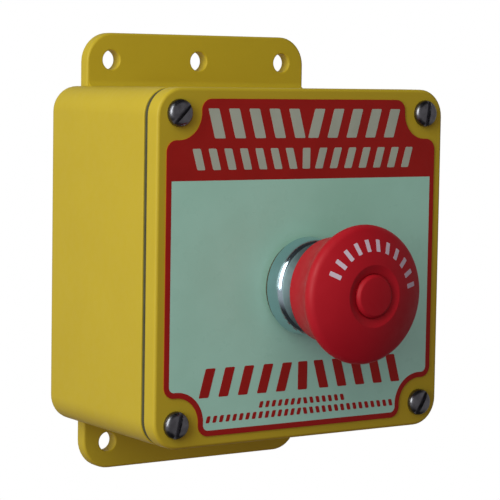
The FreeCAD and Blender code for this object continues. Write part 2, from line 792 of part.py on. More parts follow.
def build_head():
    """Mushroom head: concave flank, rounded rim, domed front with a recess, and a hub for the stem.

    The flank is an arc that leaves the back edge along the axis and runs tangent into the round of the rim.
    """
    body = operator_body("mushroom_head")
    skirt_radius = bezel_ridge + size.skirt_over
    inset = rim_centre - skirt_radius
    spread = size.head_rise * size.head_rise + inset * inset - size.rim_round * size.rim_round
    flank_radius = spread / ((size.rim_round + inset) * 2)
    rim_share = size.rim_round / (flank_radius + size.rim_round)
    dome_share = size.dome_radius / dome_to_rim
    recess = size.cap_radius + size.cap_gap
    groove_out = recess + size.groove_width
    groove_top = dome_height(groove_out)
    screw_bore = size.head_screw_radius + size.screw_play
    hub = spigot_radius + size.hub_wall
    hollow_top = rim_height - size.hollow_drop
    points = [
        (skirt_radius - size.skirt_wall, skirt_height),
        (skirt_radius, skirt_height),
        (rim_centre + (flank_radius - inset) * rim_share, rim_height - size.head_rise * rim_share),
        (rim_centre * dome_share, dome_centre + (rim_height - dome_centre) * dome_share),
        (groove_out, groove_top),
        (recess, groove_top - size.groove_depth),
        (recess, cap_back),
        (screw_bore, cap_back),
        (screw_bore, spigot_front),
        (spigot_radius, spigot_front),
        (spigot_radius, stem_shoulder),
        (hub, stem_shoulder),
        (hub, hollow_top),
        (skirt_radius, hollow_top),
    ]
    revolve(body, points, {1: (flank_radius, False), 2: (size.rim_round, True), 3: (size.dome_radius, True)})
    return keep(body)


def build_cap():
    """Cap in the head's recess, with a bevelled edge that makes the inner side of the ring groove."""
    body = operator_body("head_cap")
    bevel_in = size.cap_radius - size.cap_bevel
    bevel_top = dome_height(bevel_in)
    room = size.head_screw_head + size.screw_play
    points = [
        (room, cap_back),
        (size.cap_radius, cap_back),
        (size.cap_radius, bevel_top - size.groove_depth),
        (bevel_in, bevel_top),
        (ZERO, dome_top),
        (ZERO, dome_top - size.cap_floor),
        (room, dome_top - size.cap_floor),
    ]
    revolve(body, points, {3: (size.dome_radius, True)})
    return keep(body)


def build_stem():
    """Stem: spigot for the head, two detent grooves, a collar between the stops and a tail for the pusher."""
    body = operator_body("push_stem")
    groove_half = size.detent_wire + size.groove_gap
    groove_floor = stem_radius - size.detent_bite - size.groove_gap
    screw_floor = spigot_front - size.head_screw_bite - size.stop_gap
    points = [
        (ZERO, -pusher_back),
        (spigot_radius, -pusher_back),
        (spigot_radius, -collar_back),
        (collar_radius, -collar_back),
        (collar_radius, -collar_front),
        (stem_radius, -collar_front),
    ]
    for middle in (-size.detent_depth, size.travel - size.detent_depth):
        points += [
            (stem_radius, middle - groove_half),
            (groove_floor, middle - groove_half),
            (groove_floor, middle + groove_half),
            (stem_radius, middle + groove_half),
        ]
    points += [
        (stem_radius, stem_shoulder),
        (spigot_radius, stem_shoulder),
        (spigot_radius, spigot_front),
        (size.head_screw_radius, spigot_front),
        (size.head_screw_radius, screw_floor),
        (ZERO, screw_floor),
    ]
    revolve(body, points)
    return keep(body)


def build_head_screw():
    """Screw that holds the head on the stem, under the cap."""
    length = size.head_web + size.head_screw_bite
    body = screw("head_screw", size.head_screw_radius, length, size.head_screw_head, size.head_screw_height)
    place(body, 0, -face - cap_back, -size.button_drop)
    return keep(body)


def build_button():
    """Everything that moves with the head."""
    build_head()
    build_cap()
    build_head_screw()
    build_stem()
    ring("pusher", spigot_radius, pusher_radius, -pusher_back, -pusher_front)


# Contacts


def build_carrier():
    """Collar on the barrel's end, with a chamber for the pusher and the seats of the two contact blocks."""
    body = operator_body("contact_carrier")
    seat = -block_front
    top = -carrier_front
    pad(body, lambda sketch: draw_round_box(sketch, carrier_half, shelf_end, size.carrier_round), seat, top)
    pocket(body, lambda sketch: draw_circle(sketch, 0, 0, size.barrel_radius), top, seat)
    pocket(body, lambda sketch: draw_circle(sketch, 0, 0, chamber_radius), seat, -barrel_end)

    def clamp_hole(sketch):
        draw_circle(sketch, 0, -clamp_depth, size.clamp_radius)

    pocket(body, clamp_hole, carrier_half, ZERO, "YZ_Plane")
    return keep(body)


def build_clamp_screw():
    """Screw through the carrier's side that grips the barrel."""
    length = carrier_half - size.barrel_radius - size.thread_gap
    body = screw("carrier_screw", size.clamp_radius, length, size.clamp_head_radius, size.clamp_head_height)
    place(body, carrier_half, clamp_depth - face, -size.button_drop, RIGHT_VIEW)
    return keep(body)


class ContactBlock:
    """One contact block: housing, side cover, plunger, bridge, spring, terminal strips and their screws.

    The block on the left breaks its contact when the button is pushed, and the one on the right makes it.
    """

    def __init__(self, prefix, side):
        self.prefix = prefix
        self.side = side
        self.breaks = side < 0
        self.at = block_at * side
        open_gap = size.tip_thick * 2 + size.tip_gap
        if self.breaks:
            self.strip_front = bridge_front - open_gap - size.strip_thick
        else:
            self.strip_front = bridge_back + open_gap + size.travel
        self.strip_back = self.strip_front + size.strip_thick
        self.tip_at = size.bridge_reach - size.tip_inset
        self.strip_in = self.tip_at - size.tip_inset
        self.screw_at = block_half + size.shelf_length / 2

    def body(self, name):
        """A body on the block's axis."""
        return operator_body(f"{self.prefix}_{name}", self.at)

    @staticmethod
    def level(depth):
        """Height above the cover's face of a depth in the block."""
        return -block_front - depth

    def build_housing(self):
        """Chamber open to the outer side, with a shelf for a terminal at each end."""
        body = self.body("housing")
        half = block_half_width
        front = self.level(ZERO)
        back = self.level(block_depth)
        inner_front = self.level(size.block_end)
        shelf = self.level(self.strip_front)
        pad(body, lambda sketch: draw_box(sketch, -half, -block_half, half, block_half), back, front)
        pad(body, lambda sketch: draw_box(sketch, -half, -shelf_end, half, shelf_end), shelf, front)
        plunger_hole = size.plunger_radius + size.plunger_gap
        pocket(body, lambda sketch: draw_circle(sketch, 0, 0, plunger_hole), front, inner_front)

        def chamber(sketch):
            draw_box(sketch, -chamber_half, self.level(chamber_back), chamber_half, inner_front)

        outside = half * self.side
        inside = (size.block_wall - half) * self.side
        pocket(body, chamber, outside, inside, "YZ_Plane")
        pocket(body, lambda sketch: self.draw_strips(sketch, shelf_end), shelf, self.level(self.strip_back))
        hole_floor = self.level(self.strip_front - size.terminal_screw_bite - size.stop_gap)
        screw_radius = size.terminal_screw_radius
        pocket(body, lambda sketch: draw_pair(sketch, self.screw_at, screw_radius), shelf, hole_floor)
        return keep(body)

    def draw_strips(self, sketch, end):
        """The outlines of the two terminal strips, as far as an end."""
        draw_box(sketch, -size.bridge_half, -end, size.bridge_half, -self.strip_in)
        draw_box(sketch, -size.bridge_half, self.strip_in, size.bridge_half, end)

    def draw_tips(self, sketch):
        """The outlines of two contact tips."""
        draw_pair(sketch, self.tip_at, size.tip_radius)

    def build_side_cover(self):
        """Plate that closes the chamber's open side."""
        body = self.body("side_cover")
        half = chamber_half - size.side_gap
        back = self.level(chamber_back - size.side_gap)
        front = self.level(size.block_end + size.side_gap)
        inside = (block_half_width - size.block_wall) * self.side
        outside = block_half_width * self.side
        pad(body, lambda sketch: draw_box(sketch, -half, back, half, front), inside, outside, "YZ_Plane")
        return keep(body)

    def build_plunger(self):
        """Round plunger with a square carriage, a window for the bridge and a hole for the spring."""
        body = self.body("plunger")
        half = carriage_half
        front = self.level(carriage_front)
        back = self.level(carriage_back)
        tip = -pusher_back - size.plunger_gap
        pad(body, lambda sketch: draw_box(sketch, -half, -half, half, half), back, front)
        pad(body, lambda sketch: draw_circle(sketch, 0, 0, size.plunger_radius), front, tip)

        def window(sketch):
            draw_box(
                sketch, -size.bridge_half, self.level(bridge_back), size.bridge_half, self.level(bridge_front)
            )

        pocket(body, window, half, -half, "XZ_Plane")
        pocket(body, lambda sketch: draw_circle(sketch, 0, 0, spring_bore), back, self.level(spring_front))
        return keep(body)

    def build_bridge(self):
        """Moving bridge with a contact tip near each end."""
        body = self.body("bridge")
        half = size.bridge_half
        reach = size.bridge_reach
        front = self.level(bridge_front)
        back = self.level(bridge_back)
        pad(body, lambda sketch: draw_box(sketch, -half, -reach, half, reach), back, front)
        if self.breaks:
            pad(body, self.draw_tips, front, front + size.tip_thick)
        else:
            pad(body, self.draw_tips, back, back - size.tip_thick)
        return keep(body)

    def build_terminals(self):
        """Two fixed strips, each with a contact tip inside and a screw hole outside."""
        body = self.body("terminals")
        front = self.level(self.strip_front)
        back = self.level(self.strip_back)
        pad(body, lambda sketch: self.draw_strips(sketch, shelf_end - size.strip_margin), back, front)
        if self.breaks:
            pad(body, self.draw_tips, back, back - size.tip_thick)
        else:
            pad(body, self.draw_tips, front, front + size.tip_thick)
        screw_radius = size.terminal_screw_radius
        pocket(body, lambda sketch: draw_pair(sketch, self.screw_at, screw_radius), front, back)
        return keep(body)

    def build_terminal_screws(self):
        """One screw on each strip, driven from the wall side."""
        length = size.strip_thick + size.terminal_screw_bite
        depth = block_front + self.strip_back
        head = (size.terminal_head_radius, size.terminal_head_height)
        members = []
        for y in (-self.screw_at, self.screw_at):
            body = screw(f"{self.prefix}_terminal_screw", size.terminal_screw_radius, length, *head)
            place(body, self.at, depth - face, y - size.button_drop, BACK_VIEW)
            members.append(body)
        return group(f"{self.prefix}_terminal_screws", members)

    def build_spring(self):
        """Coil spring between the carriage and the chamber's rear wall."""
        name = f"{self.prefix}_spring"
        end_room = size.spring_wire + size.spring_gap
        length = chamber_back - spring_front - end_room * 2
        helix = doc.addObject("Part::Helix", f"{name}_path")
        helix.setExpression("Radius", size.spring_radius.formula)
        helix.setExpression("Height", length.formula)
        helix.setExpression("Pitch", (length / size.spring_turns).formula)
        wire = doc.addObject("Part::Circle", f"{name}_wire")
        wire.setExpression("Radius", size.spring_wire.formula)
        place(wire, size.spring_radius, 0, 0)
        doc.recompute()
        spring = doc.addObject("Part::Sweep", name)
        spring.Label = name
        spring.Sections = [wire]
        spring.Spine = (helix, [f"Edge{number}" for number in range(1, len(helix.Shape.Edges) + 1)])
        spring.Solid = True
        spring.Frenet = True
        place(spring, self.at, block_front + chamber_back - end_room - face, -size.button_drop)
        doc.recompute()
        return keep(spring)

    def build(self):
        """Builds the whole block."""
        self.build_housing()
        self.build_side_cover()
        self.build_plunger()
        self.build_bridge()
        self.build_spring()
        self.build_terminals()
        self.build_terminal_screws()


def build():
    """Builds every piece, the enclosure first and the contacts last."""
    build_enclosure_body()
    build_inserts()
    build_gasket()
    build_cover()
    build_cover_screws()
    build_label()
    build_operator()
    build_button()
    build_carrier()
    build_clamp_screw()
    ContactBlock("nc", -1).build()
    ContactBlock("no", 1).build()


def write():
    """Checks every object of the document and writes each piece to its own file."""
    doc.recompute()
    for item in doc.Objects:
        if "Invalid" in item.State or "Error" in item.State:
            raise RuntimeError(f"{item.Label} failed: {item.State}")
    for piece in pieces:
        if piece.Shape.isNull() or not piece.Shape.isValid():
            raise RuntimeError(f"{piece.Label} has no valid shape")
    os.makedirs("parts", exist_ok=True)
    for piece in pieces:
        piece.Shape.exportStep(os.path.join("parts", f"{piece.Label}.step"))
        print(piece.Label, len(piece.Shape.Solids), round(piece.Shape.Volume, 1))


build()
write()
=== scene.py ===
"""Emergency stop station: its visible pieces, finishes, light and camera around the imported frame.

Shapes are drawn as seen from the front: x to the right, up, and out, which is the distance from the wall
towards the viewer. to_frame() turns these into the frame's axes, in which the front faces -Y.
"""

import json
import logging
import math
from collections.abc import Iterable, Sequence
from dataclasses import dataclass, replace
from enum import Enum

import bmesh
import bpy
import numpy as np
from mathutils import Matrix, Vector

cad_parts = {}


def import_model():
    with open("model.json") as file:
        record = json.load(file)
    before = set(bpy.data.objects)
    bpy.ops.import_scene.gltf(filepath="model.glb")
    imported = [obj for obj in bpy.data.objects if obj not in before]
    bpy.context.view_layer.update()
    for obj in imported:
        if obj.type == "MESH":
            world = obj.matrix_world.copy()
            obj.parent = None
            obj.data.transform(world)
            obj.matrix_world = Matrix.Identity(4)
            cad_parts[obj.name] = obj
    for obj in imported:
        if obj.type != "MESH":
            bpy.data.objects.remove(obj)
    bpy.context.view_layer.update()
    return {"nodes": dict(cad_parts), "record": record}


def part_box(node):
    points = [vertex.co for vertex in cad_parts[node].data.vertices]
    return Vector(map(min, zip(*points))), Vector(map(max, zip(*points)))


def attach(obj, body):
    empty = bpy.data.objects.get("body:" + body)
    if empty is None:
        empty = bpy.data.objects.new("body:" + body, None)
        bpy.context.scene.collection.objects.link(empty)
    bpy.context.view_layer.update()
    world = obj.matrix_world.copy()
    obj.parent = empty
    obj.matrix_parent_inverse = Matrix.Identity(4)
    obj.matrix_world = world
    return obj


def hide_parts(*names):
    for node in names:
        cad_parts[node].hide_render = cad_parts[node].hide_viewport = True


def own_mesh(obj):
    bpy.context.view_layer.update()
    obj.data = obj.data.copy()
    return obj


LOG = logging.getLogger("station")
MM = 0.001
# Points nearer to each other than this are one point.
MERGE = 0.002 * MM
# How far a cutting tool reaches past the surface that it cuts.
BEYOND = 1.0 * MM
SHARP_ANGLE = math.radians(32.0)
LEAST_ANGLE = 1e-4
LEAST_LENGTH = 1e-9
FULL_TURN = 2 * math.pi
QUARTER_TURN = math.pi / 2
BOTH_SIDES = np.array([-1.0, 1.0])
# Most values of a noise lie in this range.
NOISE_MIDDLE = (0.3, 0.7)
NOISE_DETAIL = 4.0
GRAIN_DETAIL = 3.0
# Grains of the relief across one patch of gloss.
SHEEN_GRAINS = 6
EVEN = (1.0, 1.0, 1.0)
WHITE = (1.0, 1.0, 1.0)

Array = np.ndarray
Piece = bpy.types.Object
Socket = bpy.types.NodeSocket
Pair = tuple[float, float]
Triple = tuple[float, float, float]


# Lines and loops


def arc(centre: Pair, radius: float, start: float, end: float, steps: int) -> Array:
    """An arc: its centre plus the radius times the cosine and sine of evenly spaced angles.

    Args:
        centre: Middle of the arc.
        radius: Radius of the arc.
        start: First angle in degrees.
        end: Last angle in degrees, below the first for a clockwise arc.
        steps: Number of stretches.

    Returns:
        The points, one a row.
    """
    turns = np.radians(np.linspace(start, end, steps + 1))
    return np.array(centre) + radius * np.stack([np.cos(turns), np.sin(turns)], axis=1)


def soften(corners: Sequence[Triple], steps: int = 6, closed: bool = False) -> Array:
    """A line through corners, each rounded by the arc that is tangent to both runs that meet there.

    With half the angle between the runs, the arc starts at radius / tan(half) from the corner, and its
    middle is at radius / sin(half) along the runs' bisector. Its points turn evenly from the first tangent
    point to the second.

    Args:
        corners: Two coordinates and a radius for each corner.
        steps: Number of stretches in each round.
        closed: Whether the last corner joins the first.

    Returns:
        The points, one a row.
    """
    table = np.array(corners, dtype=float)
    spots, radii = table[:, :2], table[:, 2].copy()
    if not closed:
        radii[[0, -1]] = 0.0
    towards = [np.roll(spots, turn, axis=0) - spots for turn in (1, -1)]
    before, after = (run / np.linalg.norm(run, axis=1, keepdims=True) for run in towards)
    half = np.arccos(np.clip((before * after).sum(axis=1), -1.0, 1.0)) / 2
    half = np.clip(half, LEAST_ANGLE, QUARTER_TURN - LEAST_ANGLE)
    bisector = before + after
    bisector /= np.maximum(np.linalg.norm(bisector, axis=1, keepdims=True), LEAST_LENGTH)
    middle = spots + bisector * (radii / np.sin(half))[:, None]
    reach = (radii / np.tan(half))[:, None]
    first, last = spots + before * reach - middle, spots + after * reach - middle
    swing = (math.pi - 2 * half)[:, None, None]
    share = np.linspace(0.0, 1.0, steps + 1)[None, :, None]
    turned = np.sin((1 - share) * swing) * first[:, None] + np.sin(share * swing) * last[:, None]
    points = (middle[:, None] + turned / np.sin(swing)).reshape(-1, 2)
    keep = np.linalg.norm(np.diff(points, axis=0), axis=1) > MERGE
    return points[np.concatenate([[True], keep])]


def bridge(stretches: Array, steps: int) -> Array:
    """Closes a loop of four stretches with straight runs of evenly spaced points between them.

    Args:
        stretches: Points of the four stretches, as (rows, 4, points, 2).
        steps: Number of pieces in each straight run.

    Returns:
        The loops, as (rows, columns, 2).
    """
    ends = stretches[:, :, -1:]
    starts = np.roll(stretches[:, :, :1], -1, axis=1)
    share = np.linspace(0.0, 1.0, steps + 1)[1:-1][None, None, :, None]
    runs = ends + share * (starts - ends)
    return np.concatenate([stretches, runs], axis=2).reshape(len(stretches), -1, 2)


def round_boxes(
    half_x: Array, half_up: Array, radius: Array, arc_steps: int = 10, side_steps: int = 16
) -> Array:
    """Rectangles with round corners about the origin, one for each row of sizes.

    Each corner is a quarter circle about a point that lies one radius inside both sides.

    Args:
        half_x: Half widths.
        half_up: Half heights.
        radius: Corner radii, of which negative ones count as nothing.
        arc_steps: Number of stretches in a corner.
        side_steps: Number of stretches in a side.

    Returns:
        The loops, as (rows, columns, 2).
    """
    radius = np.maximum(radius, 0.0)[:, None, None, None]
    half = np.stack([half_x, half_up], axis=1)[:, None, None, :]
    signs = np.array([[1, 1], [-1, 1], [-1, -1], [1, -1]])[None, :, None, :]
    quarter = np.linspace(0.0, QUARTER_TURN, arc_steps + 1)[None, :]
    turns = quarter + (np.arange(4) * QUARTER_TURN)[:, None]
    corners = signs * (half - radius) + radius * np.stack([np.cos(turns), np.sin(turns)], axis=2)[None]
    return bridge(corners, side_steps)


def bar_outline(half_width: float, half_height: float, soft: float) -> Array:
    """An upright bar about the origin, with its corners rounded.

    Args:
        half_width: Half of its width.
        half_height: Half of its height.
        soft: Radius of the corners.

    Returns:
        The points, one a row.
    """
    signs = ((-1, -1), (1, -1), (1, 1), (-1, 1))
    return soften([(x * half_width, up * half_height, soft) for x, up in signs], steps=3, closed=True)


def facing_circle(loop: Array, axis_up: float, radius: float) -> Array:
    """A circle about the button's axis, with a point in the direction of each point of a loop.

    Each point is the axis plus the radius times the line from the axis to the loop's point, made one long.

    Args:
        loop: Points of x and up.
        axis_up: Height of the axis.
        radius: Radius of the circle.

    Returns:
        The points, one a row.
    """
    middle = np.array([0.0, axis_up])
    away = loop - middle
    return middle + radius * away / np.linalg.norm(away, axis=1, keepdims=True)


# Surfaces and meshes


def to_frame(points: Array) -> Array:
    """Turns points of x, up and out into the frame's axes."""
    return np.stack([points[..., 0], -points[..., 2], points[..., 1]], axis=-1)


def with_out(loops: Array, out: Array) -> Array:
    """Gives each row of flat loops its own distance from the wall."""
    heights = np.broadcast_to(np.asarray(out, dtype=float)[:, None, None], loops.shape[:2] + (1,))
    return np.concatenate([loops, heights], axis=2)


def lathe(profile: Array, axis_up: float, columns: int = 144) -> Array:
    """A profile turned about an axis: x and up are the radius times the cosine and sine of the turn.

    Args:
        profile: Points of radius and out, one a row.
        axis_up: Height of the axis.
        columns: Number of points round the axis.

    Returns:
        The grid, as (rows, columns, 3).
    """
    turns = np.arange(columns) * (FULL_TURN / columns)
    ring = np.stack([np.cos(turns), np.sin(turns)], axis=1)
    loops = profile[:, :1, None] * ring[None] + np.array([0.0, axis_up])
    return with_out(loops, profile[:, 1])


def clean(mesh: bpy.types.Mesh) -> None:
    """Merges doubles, drops faces without area and turns all faces outwards.

    Args:
        mesh: The mesh that changes.
    """
    work = bmesh.new()
    work.from_mesh(mesh)
    bmesh.ops.remove_doubles(work, verts=work.verts, dist=MERGE)
    bmesh.ops.dissolve_degenerate(work, edges=work.edges, dist=MERGE)
    bmesh.ops.recalc_face_normals(work, faces=work.faces)
    work.to_mesh(mesh)
    work.free()


def make_piece(name: str, points: Array, faces: list[list[int]]) -> Piece:
    """Makes an object of points and faces, and cleans its mesh.

    Args:
        name: Name of the piece.
        points: Points of x, up and out.
        faces: Lists of point numbers.

    Returns:
        The new object, at the origin.
    """
    mesh = bpy.data.meshes.new(name)
    mesh.from_pydata(to_frame(points.reshape(-1, 3)).tolist(), [], faces)
    clean(mesh)
    piece = bpy.data.objects.new(name, mesh)
    bpy.context.scene.collection.objects.link(piece)
    return piece


def surface(name: str, grid: Array, ring: bool = False) -> Piece:
    """Makes a piece of one or more grids whose columns close, and whose rows close too in a ring.

    Args:
        name: Name of the piece.
        grid: Points, as (rows, columns, 3), or as (grids, rows, columns, 3).
        ring: Whether the last row joins the first. Otherwise the end rows are single points.

    Returns:
        The new object.
    """
    index = np.arange(grid[..., 0].size).reshape(grid.shape[:-1])
    above = np.roll(index, -1, axis=-2)
    quads = np.stack([index, np.roll(index, -1, axis=-1), np.roll(above, -1, axis=-1), above], axis=-1)
    if not ring:
        quads = quads[..., :-1, :, :]
    return make_piece(name, grid, quads.reshape(-1, 4).tolist())


def carry(
    name: str, corners: Sequence[Triple], half: Pair, radius: float, steps: int = 6, ring: bool = False
) -> Piece:
    """Makes a piece of a softened profile that is carried round a rectangle with round corners.

    Args:
        name: Name of the piece.
        corners: The profile's corners, as inset from the rectangle, out and radius.
        half: Half width and half height of the rectangle.
        radius: Radius of the rectangle's corners.
        steps: Number of stretches in each round of the profile.
        ring: Whether the profile is closed.

    Returns:
        The new object.
    """
    inset, out = soften(corners, steps, ring).T
    return surface(name, with_out(round_boxes(half[0] - inset, half[1] - inset, radius - inset), out), ring)


def turn_all(name: str, places: Array, profile: Array, columns: int = 48) -> Piece:
    """Makes one piece of turned shapes of one profile at several places of the face.

    Args:
        name: Name of the piece.
        places: Points of x and up.
        profile: Points of radius and out, with both ends on the axis.
        columns: Number of points round each.

    Returns:
        The new object.
    """
    shift = np.concatenate([places, np.zeros((len(places), 1))], axis=1)
    return surface(name, lathe(profile, 0.0, columns) + shift[:, None, None, :])


def extrude(name: str, ends: Array) -> Piece:
    """Makes one piece of closed bars, each given by the outlines of its two ends.

    Args:
        name: Name of the piece.
        ends: Points of the outlines, as (bars, 2, points, 3).

    Returns:
        The new object.
    """
    index = np.arange(ends[..., 0].size).reshape(ends.shape[:-1])
    first, last = index[:, 0], index[:, 1]
    sides = np.stack([first, np.roll(first, -1, axis=1), np.roll(last, -1, axis=1), last], axis=2)
    caps = index.reshape(-1, index.shape[2])
    return make_piece(name, ends, sides.reshape(-1, 4).tolist() + caps.tolist())


def prisms(name: str, outlines: Array, low: Array, high: Array) -> Piece:
    """Makes one piece of outlines that are each carried from a low to a high distance from the wall.

    Args:
        name: Name of the piece.
        outlines: Points of the outlines, as (prisms, points, 2).
        low: Where the prisms start, for all or for each point.
        high: Where the prisms end.

    Returns:
        The new object.
    """
    levels = [np.broadcast_to(level, outlines.shape[:2])[..., None] for level in (low, high)]
    return extrude(name, np.stack([np.concatenate([outlines, level], axis=2) for level in levels], axis=1))


class Merge(Enum):
    """What a tool does to a piece."""

    JOIN = "UNION"
    CUT = "DIFFERENCE"


def merge(piece: Piece, tool: Piece, how: Merge) -> None:
    """Joins a tool to a piece or cuts it away, and removes the tool.

    Args:
        piece: The piece that changes.
        tool: The closed shape that is joined or cut away.
        how: Which of the two.
    """
    modifier = piece.modifiers.new(how.name, "BOOLEAN")
    modifier.operation = how.value
    modifier.solver = "EXACT"
    modifier.object = tool
    graph = bpy.context.evaluated_depsgraph_get()
    changed = bpy.data.meshes.new_from_object(piece.evaluated_get(graph))
    clean(changed)
    piece.modifiers.clear()
    old = piece.data
    piece.data = changed
    bpy.data.meshes.remove(old)
    bpy.data.objects.remove(tool)


# Finishes


class Mix(Enum):
    """Kind of a mix node, with its inputs for the share and both values, and its output."""

    NUMBER = ("FLOAT", (0, 2, 3), 0)
    COLOUR = ("RGBA", (0, 6, 7), 2)


class Rule(Enum):
    """How numbers are put together."""

    PRODUCT = "MULTIPLY"
    LARGEST = "MAXIMUM"
    WITHOUT_SIGN = "ABSOLUTE"


class Axis(Enum):
    """Part of a direction."""

    X = "X"
    Y = "Y"
    Z = "Z"


class Nodes:
    """A node tree, with short calls that add and join nodes."""

    def __init__(self, tree: bpy.types.NodeTree) -> None:
        """Takes the tree of a material or a world."""
        self.tree = tree

    def add(self, kind: str, **settings: object) -> bpy.types.Node:
        """Adds a node and sets its properties.

        Args:
            kind: Type of the node.
            settings: Its properties by name.

        Returns:
            The new node.
        """
        node = self.tree.nodes.new(kind)
        for name, value in settings.items():
            setattr(node, name, value)
        return node

    def join(self, socket: Socket, value: object) -> None:
        """Links a value to a socket if it is a socket too, and sets it otherwise.

        Args:
            socket: Input of a node.
            value: Another node's output, or a plain value.
        """
        if isinstance(value, Socket):
            self.tree.links.new(value, socket)
        else:
            socket.default_value = value

    def feed(self, node: bpy.types.Node, **inputs: object) -> bpy.types.Node:
        """Joins or sets a node's inputs.

        Args:
            node: The node.
            inputs: Its inputs by name, with _ for a space.

        Returns:
            The same node.
        """
        for name, value in inputs.items():
            self.join(node.inputs[name.replace("_", " ")], value)
        return node

    def combine(self, rule: Rule, *values: object) -> Socket:
        """Puts numbers together, one after the other.

        Args:
            rule: How they are put together.
            values: Two or more sockets or plain numbers.

        Returns:
            The resulting number.
        """
        total = values[0]
        for value in values[1:]:
            node = self.add("ShaderNodeMath", operation=rule.value)
            self.join(node.inputs[0], total)
            self.join(node.inputs[1], value)
            total = node.outputs[0]
        return total

    def ranged(self, value: Socket, old: Pair, new: Pair) -> Socket:
        """Maps one range of numbers to another, smoothly and without going past its ends.

        Args:
            value: The number.
            old: Its range.
            new: Range of the result.

        Returns:
            The resulting number.
        """
        node = self.add("ShaderNodeMapRange", interpolation_type="SMOOTHSTEP")
        self.feed(node, Value=value, From_Min=old[0], From_Max=old[1], To_Min=new[0], To_Max=new[1])
        return node.outputs["Result"]

    def noise(
        self, place: Socket, scale: float, stretch: Triple = EVEN, detail: float = NOISE_DETAIL
    ) -> Socket:
        """Noise from 0 to 1.

        Args:
            place: Point at which it is looked up.
            scale: Grains per metre.
            stretch: Factors along the axes, of which a small one draws the grains out.
            detail: Finer layers that are added.

        Returns:
            The noise.
        """
        spot = self.feed(self.add("ShaderNodeMapping"), Vector=place, Scale=stretch)
        node = self.add("ShaderNodeTexNoise")
        return self.feed(node, Vector=spot.outputs[0], Scale=scale, Detail=detail).outputs["Fac"]

    def mix(self, kind: Mix, share: Socket, first: object, second: object) -> Socket:
        """Goes from one number or colour to another.

        Args:
            kind: Numbers or colours.
            share: 0 for the first, 1 for the second.
            first: The first one.
            second: The second one.

        Returns:
            The mixed one.
        """
        data_type, inputs, output = kind.value
        node = self.add("ShaderNodeMix", data_type=data_type)
        for index, value in zip(inputs, (share, first, second)):
            self.join(node.inputs[index], value)
        return node.outputs[output]

    def relief(self, height: Socket, depth: float) -> Socket:
        """Turns a height from 0 to 1 into a bump of a real depth."""
        node = self.feed(self.add("ShaderNodeBump"), Height=height, Distance=depth, Strength=1.0)
        return node.outputs["Normal"]


@dataclass(frozen=True)
class Finish:
    """Finish of a material: two colours that drift into each other, an uneven gloss and a fine relief.

    Attributes:
        name: Name of the material.
        colour: Main colour, linear.
        drift: Colour that patches lean towards.
        gloss: Lowest and highest roughness.
        patches: Patches of colour per metre.
        grain: Grains of the relief per metre.
        depth: Depth of the relief.
        stretch: Factors on the grain along the axes, of which a small one draws it out.
        metallic: 1 for bare metal.
        specular: Strength of the plain reflection.
    """

    name: str
    colour: Triple
    drift: Triple
    gloss: Pair
    patches: float = 60.0
    grain: float = 1500.0
    depth: float = 0.01 * MM
    stretch: Triple = EVEN
    metallic: float = 0.0
    specular: float = 0.4

    def material(self) -> bpy.types.Material:
        """Makes the material the first time, and finds it after that.

        Returns:
            The material.
        """
        title = f"{self.name}_finish"
        made = bpy.data.materials.get(title)
        if made is not None:
            return made
        material = bpy.data.materials.new(title)
        material.use_nodes = True
        nodes = Nodes(material.node_tree)
        place = nodes.add("ShaderNodeTexCoord").outputs["Object"]
        patches = nodes.ranged(nodes.noise(place, self.patches), NOISE_MIDDLE, (0.0, 1.0))
        sheen = nodes.noise(place, self.grain / SHEEN_GRAINS, self.stretch)
        grain = nodes.noise(place, self.grain, self.stretch, GRAIN_DETAIL)
        nodes.feed(
            nodes.tree.nodes["Principled BSDF"],
            Base_Color=nodes.mix(Mix.COLOUR, patches, (*self.colour, 1.0), (*self.drift, 1.0)),
            Roughness=nodes.ranged(sheen, NOISE_MIDDLE, self.gloss),
            Normal=nodes.relief(grain, self.depth),
            Metallic=self.metallic,
            Specular_IOR_Level=self.specular,
        )
        return material


YELLOW = Finish(
    "yellow_plastic", (0.566, 0.411, 0.023), (0.551, 0.396, 0.021), (0.42, 0.54),
    patches=40.0, grain=2200.0, depth=0.012 * MM, specular=0.30,
)
RED = Finish(
    "red_plastic", (0.48, 0.010, 0.020), (0.44, 0.008, 0.017), (0.38, 0.50),
    patches=70.0, grain=2600.0, depth=0.008 * MM, specular=0.20,
)
FILM = Finish(
    "label_sheet", (0.445, 0.78, 0.64), (0.425, 0.75, 0.61), (0.26, 0.36),
    patches=90.0, grain=900.0, depth=0.006 * MM, specular=0.25,
)
RED_INK = Finish(
    "red_ink", (0.39, 0.011, 0.008), (0.36, 0.010, 0.007), (0.34, 0.44),
    patches=120.0, grain=1800.0, depth=0.004 * MM, specular=0.25,
)
PALE_INK = replace(
    RED_INK, name="pale_ink", colour=(0.485, 0.53, 0.435), drift=(0.445, 0.485, 0.395), gloss=(0.38, 0.46)
)
WHITE_INK = replace(
    RED_INK, name="white_ink", colour=(0.71, 0.58, 0.68), drift=(0.64, 0.52, 0.61), gloss=(0.42, 0.50),
    patches=160.0,
)
# The blue tint is a painted reflection of a bluish room; the metal itself is neutral chrome.
CHROME = Finish(
    "bezel_chrome", (0.55, 0.67, 0.77), (0.52, 0.64, 0.74), (0.12, 0.18),
    patches=80.0, grain=3000.0, depth=0.0008 * MM, stretch=(1.0, 0.05, 1.0), metallic=1.0,
)
# Cyan-green tint is a painted reflection of the green label in the collar's front; real chrome is neutral.
SATIN_CHROME_PAINTED_REFLECTION = Finish(
    "satin_chrome_painted_reflection", (0.46, 0.66, 0.69), (0.43, 0.62, 0.65), (0.38, 0.46),
    patches=120.0, grain=4000.0, depth=0.002 * MM, metallic=1.0,
)
SCREW_STEEL = Finish(
    "screw_steel", (0.215, 0.205, 0.229), (0.141, 0.134, 0.150), (0.23, 0.36),
    patches=500.0, grain=5000.0, depth=0.004 * MM, metallic=1.0,
)
OPERATOR_METAL = Finish(
    "operator_metal", (0.50, 0.50, 0.50), (0.42, 0.42, 0.43), (0.30, 0.45),
    patches=200.0, grain=3000.0, depth=0.006 * MM, metallic=1.0,
)
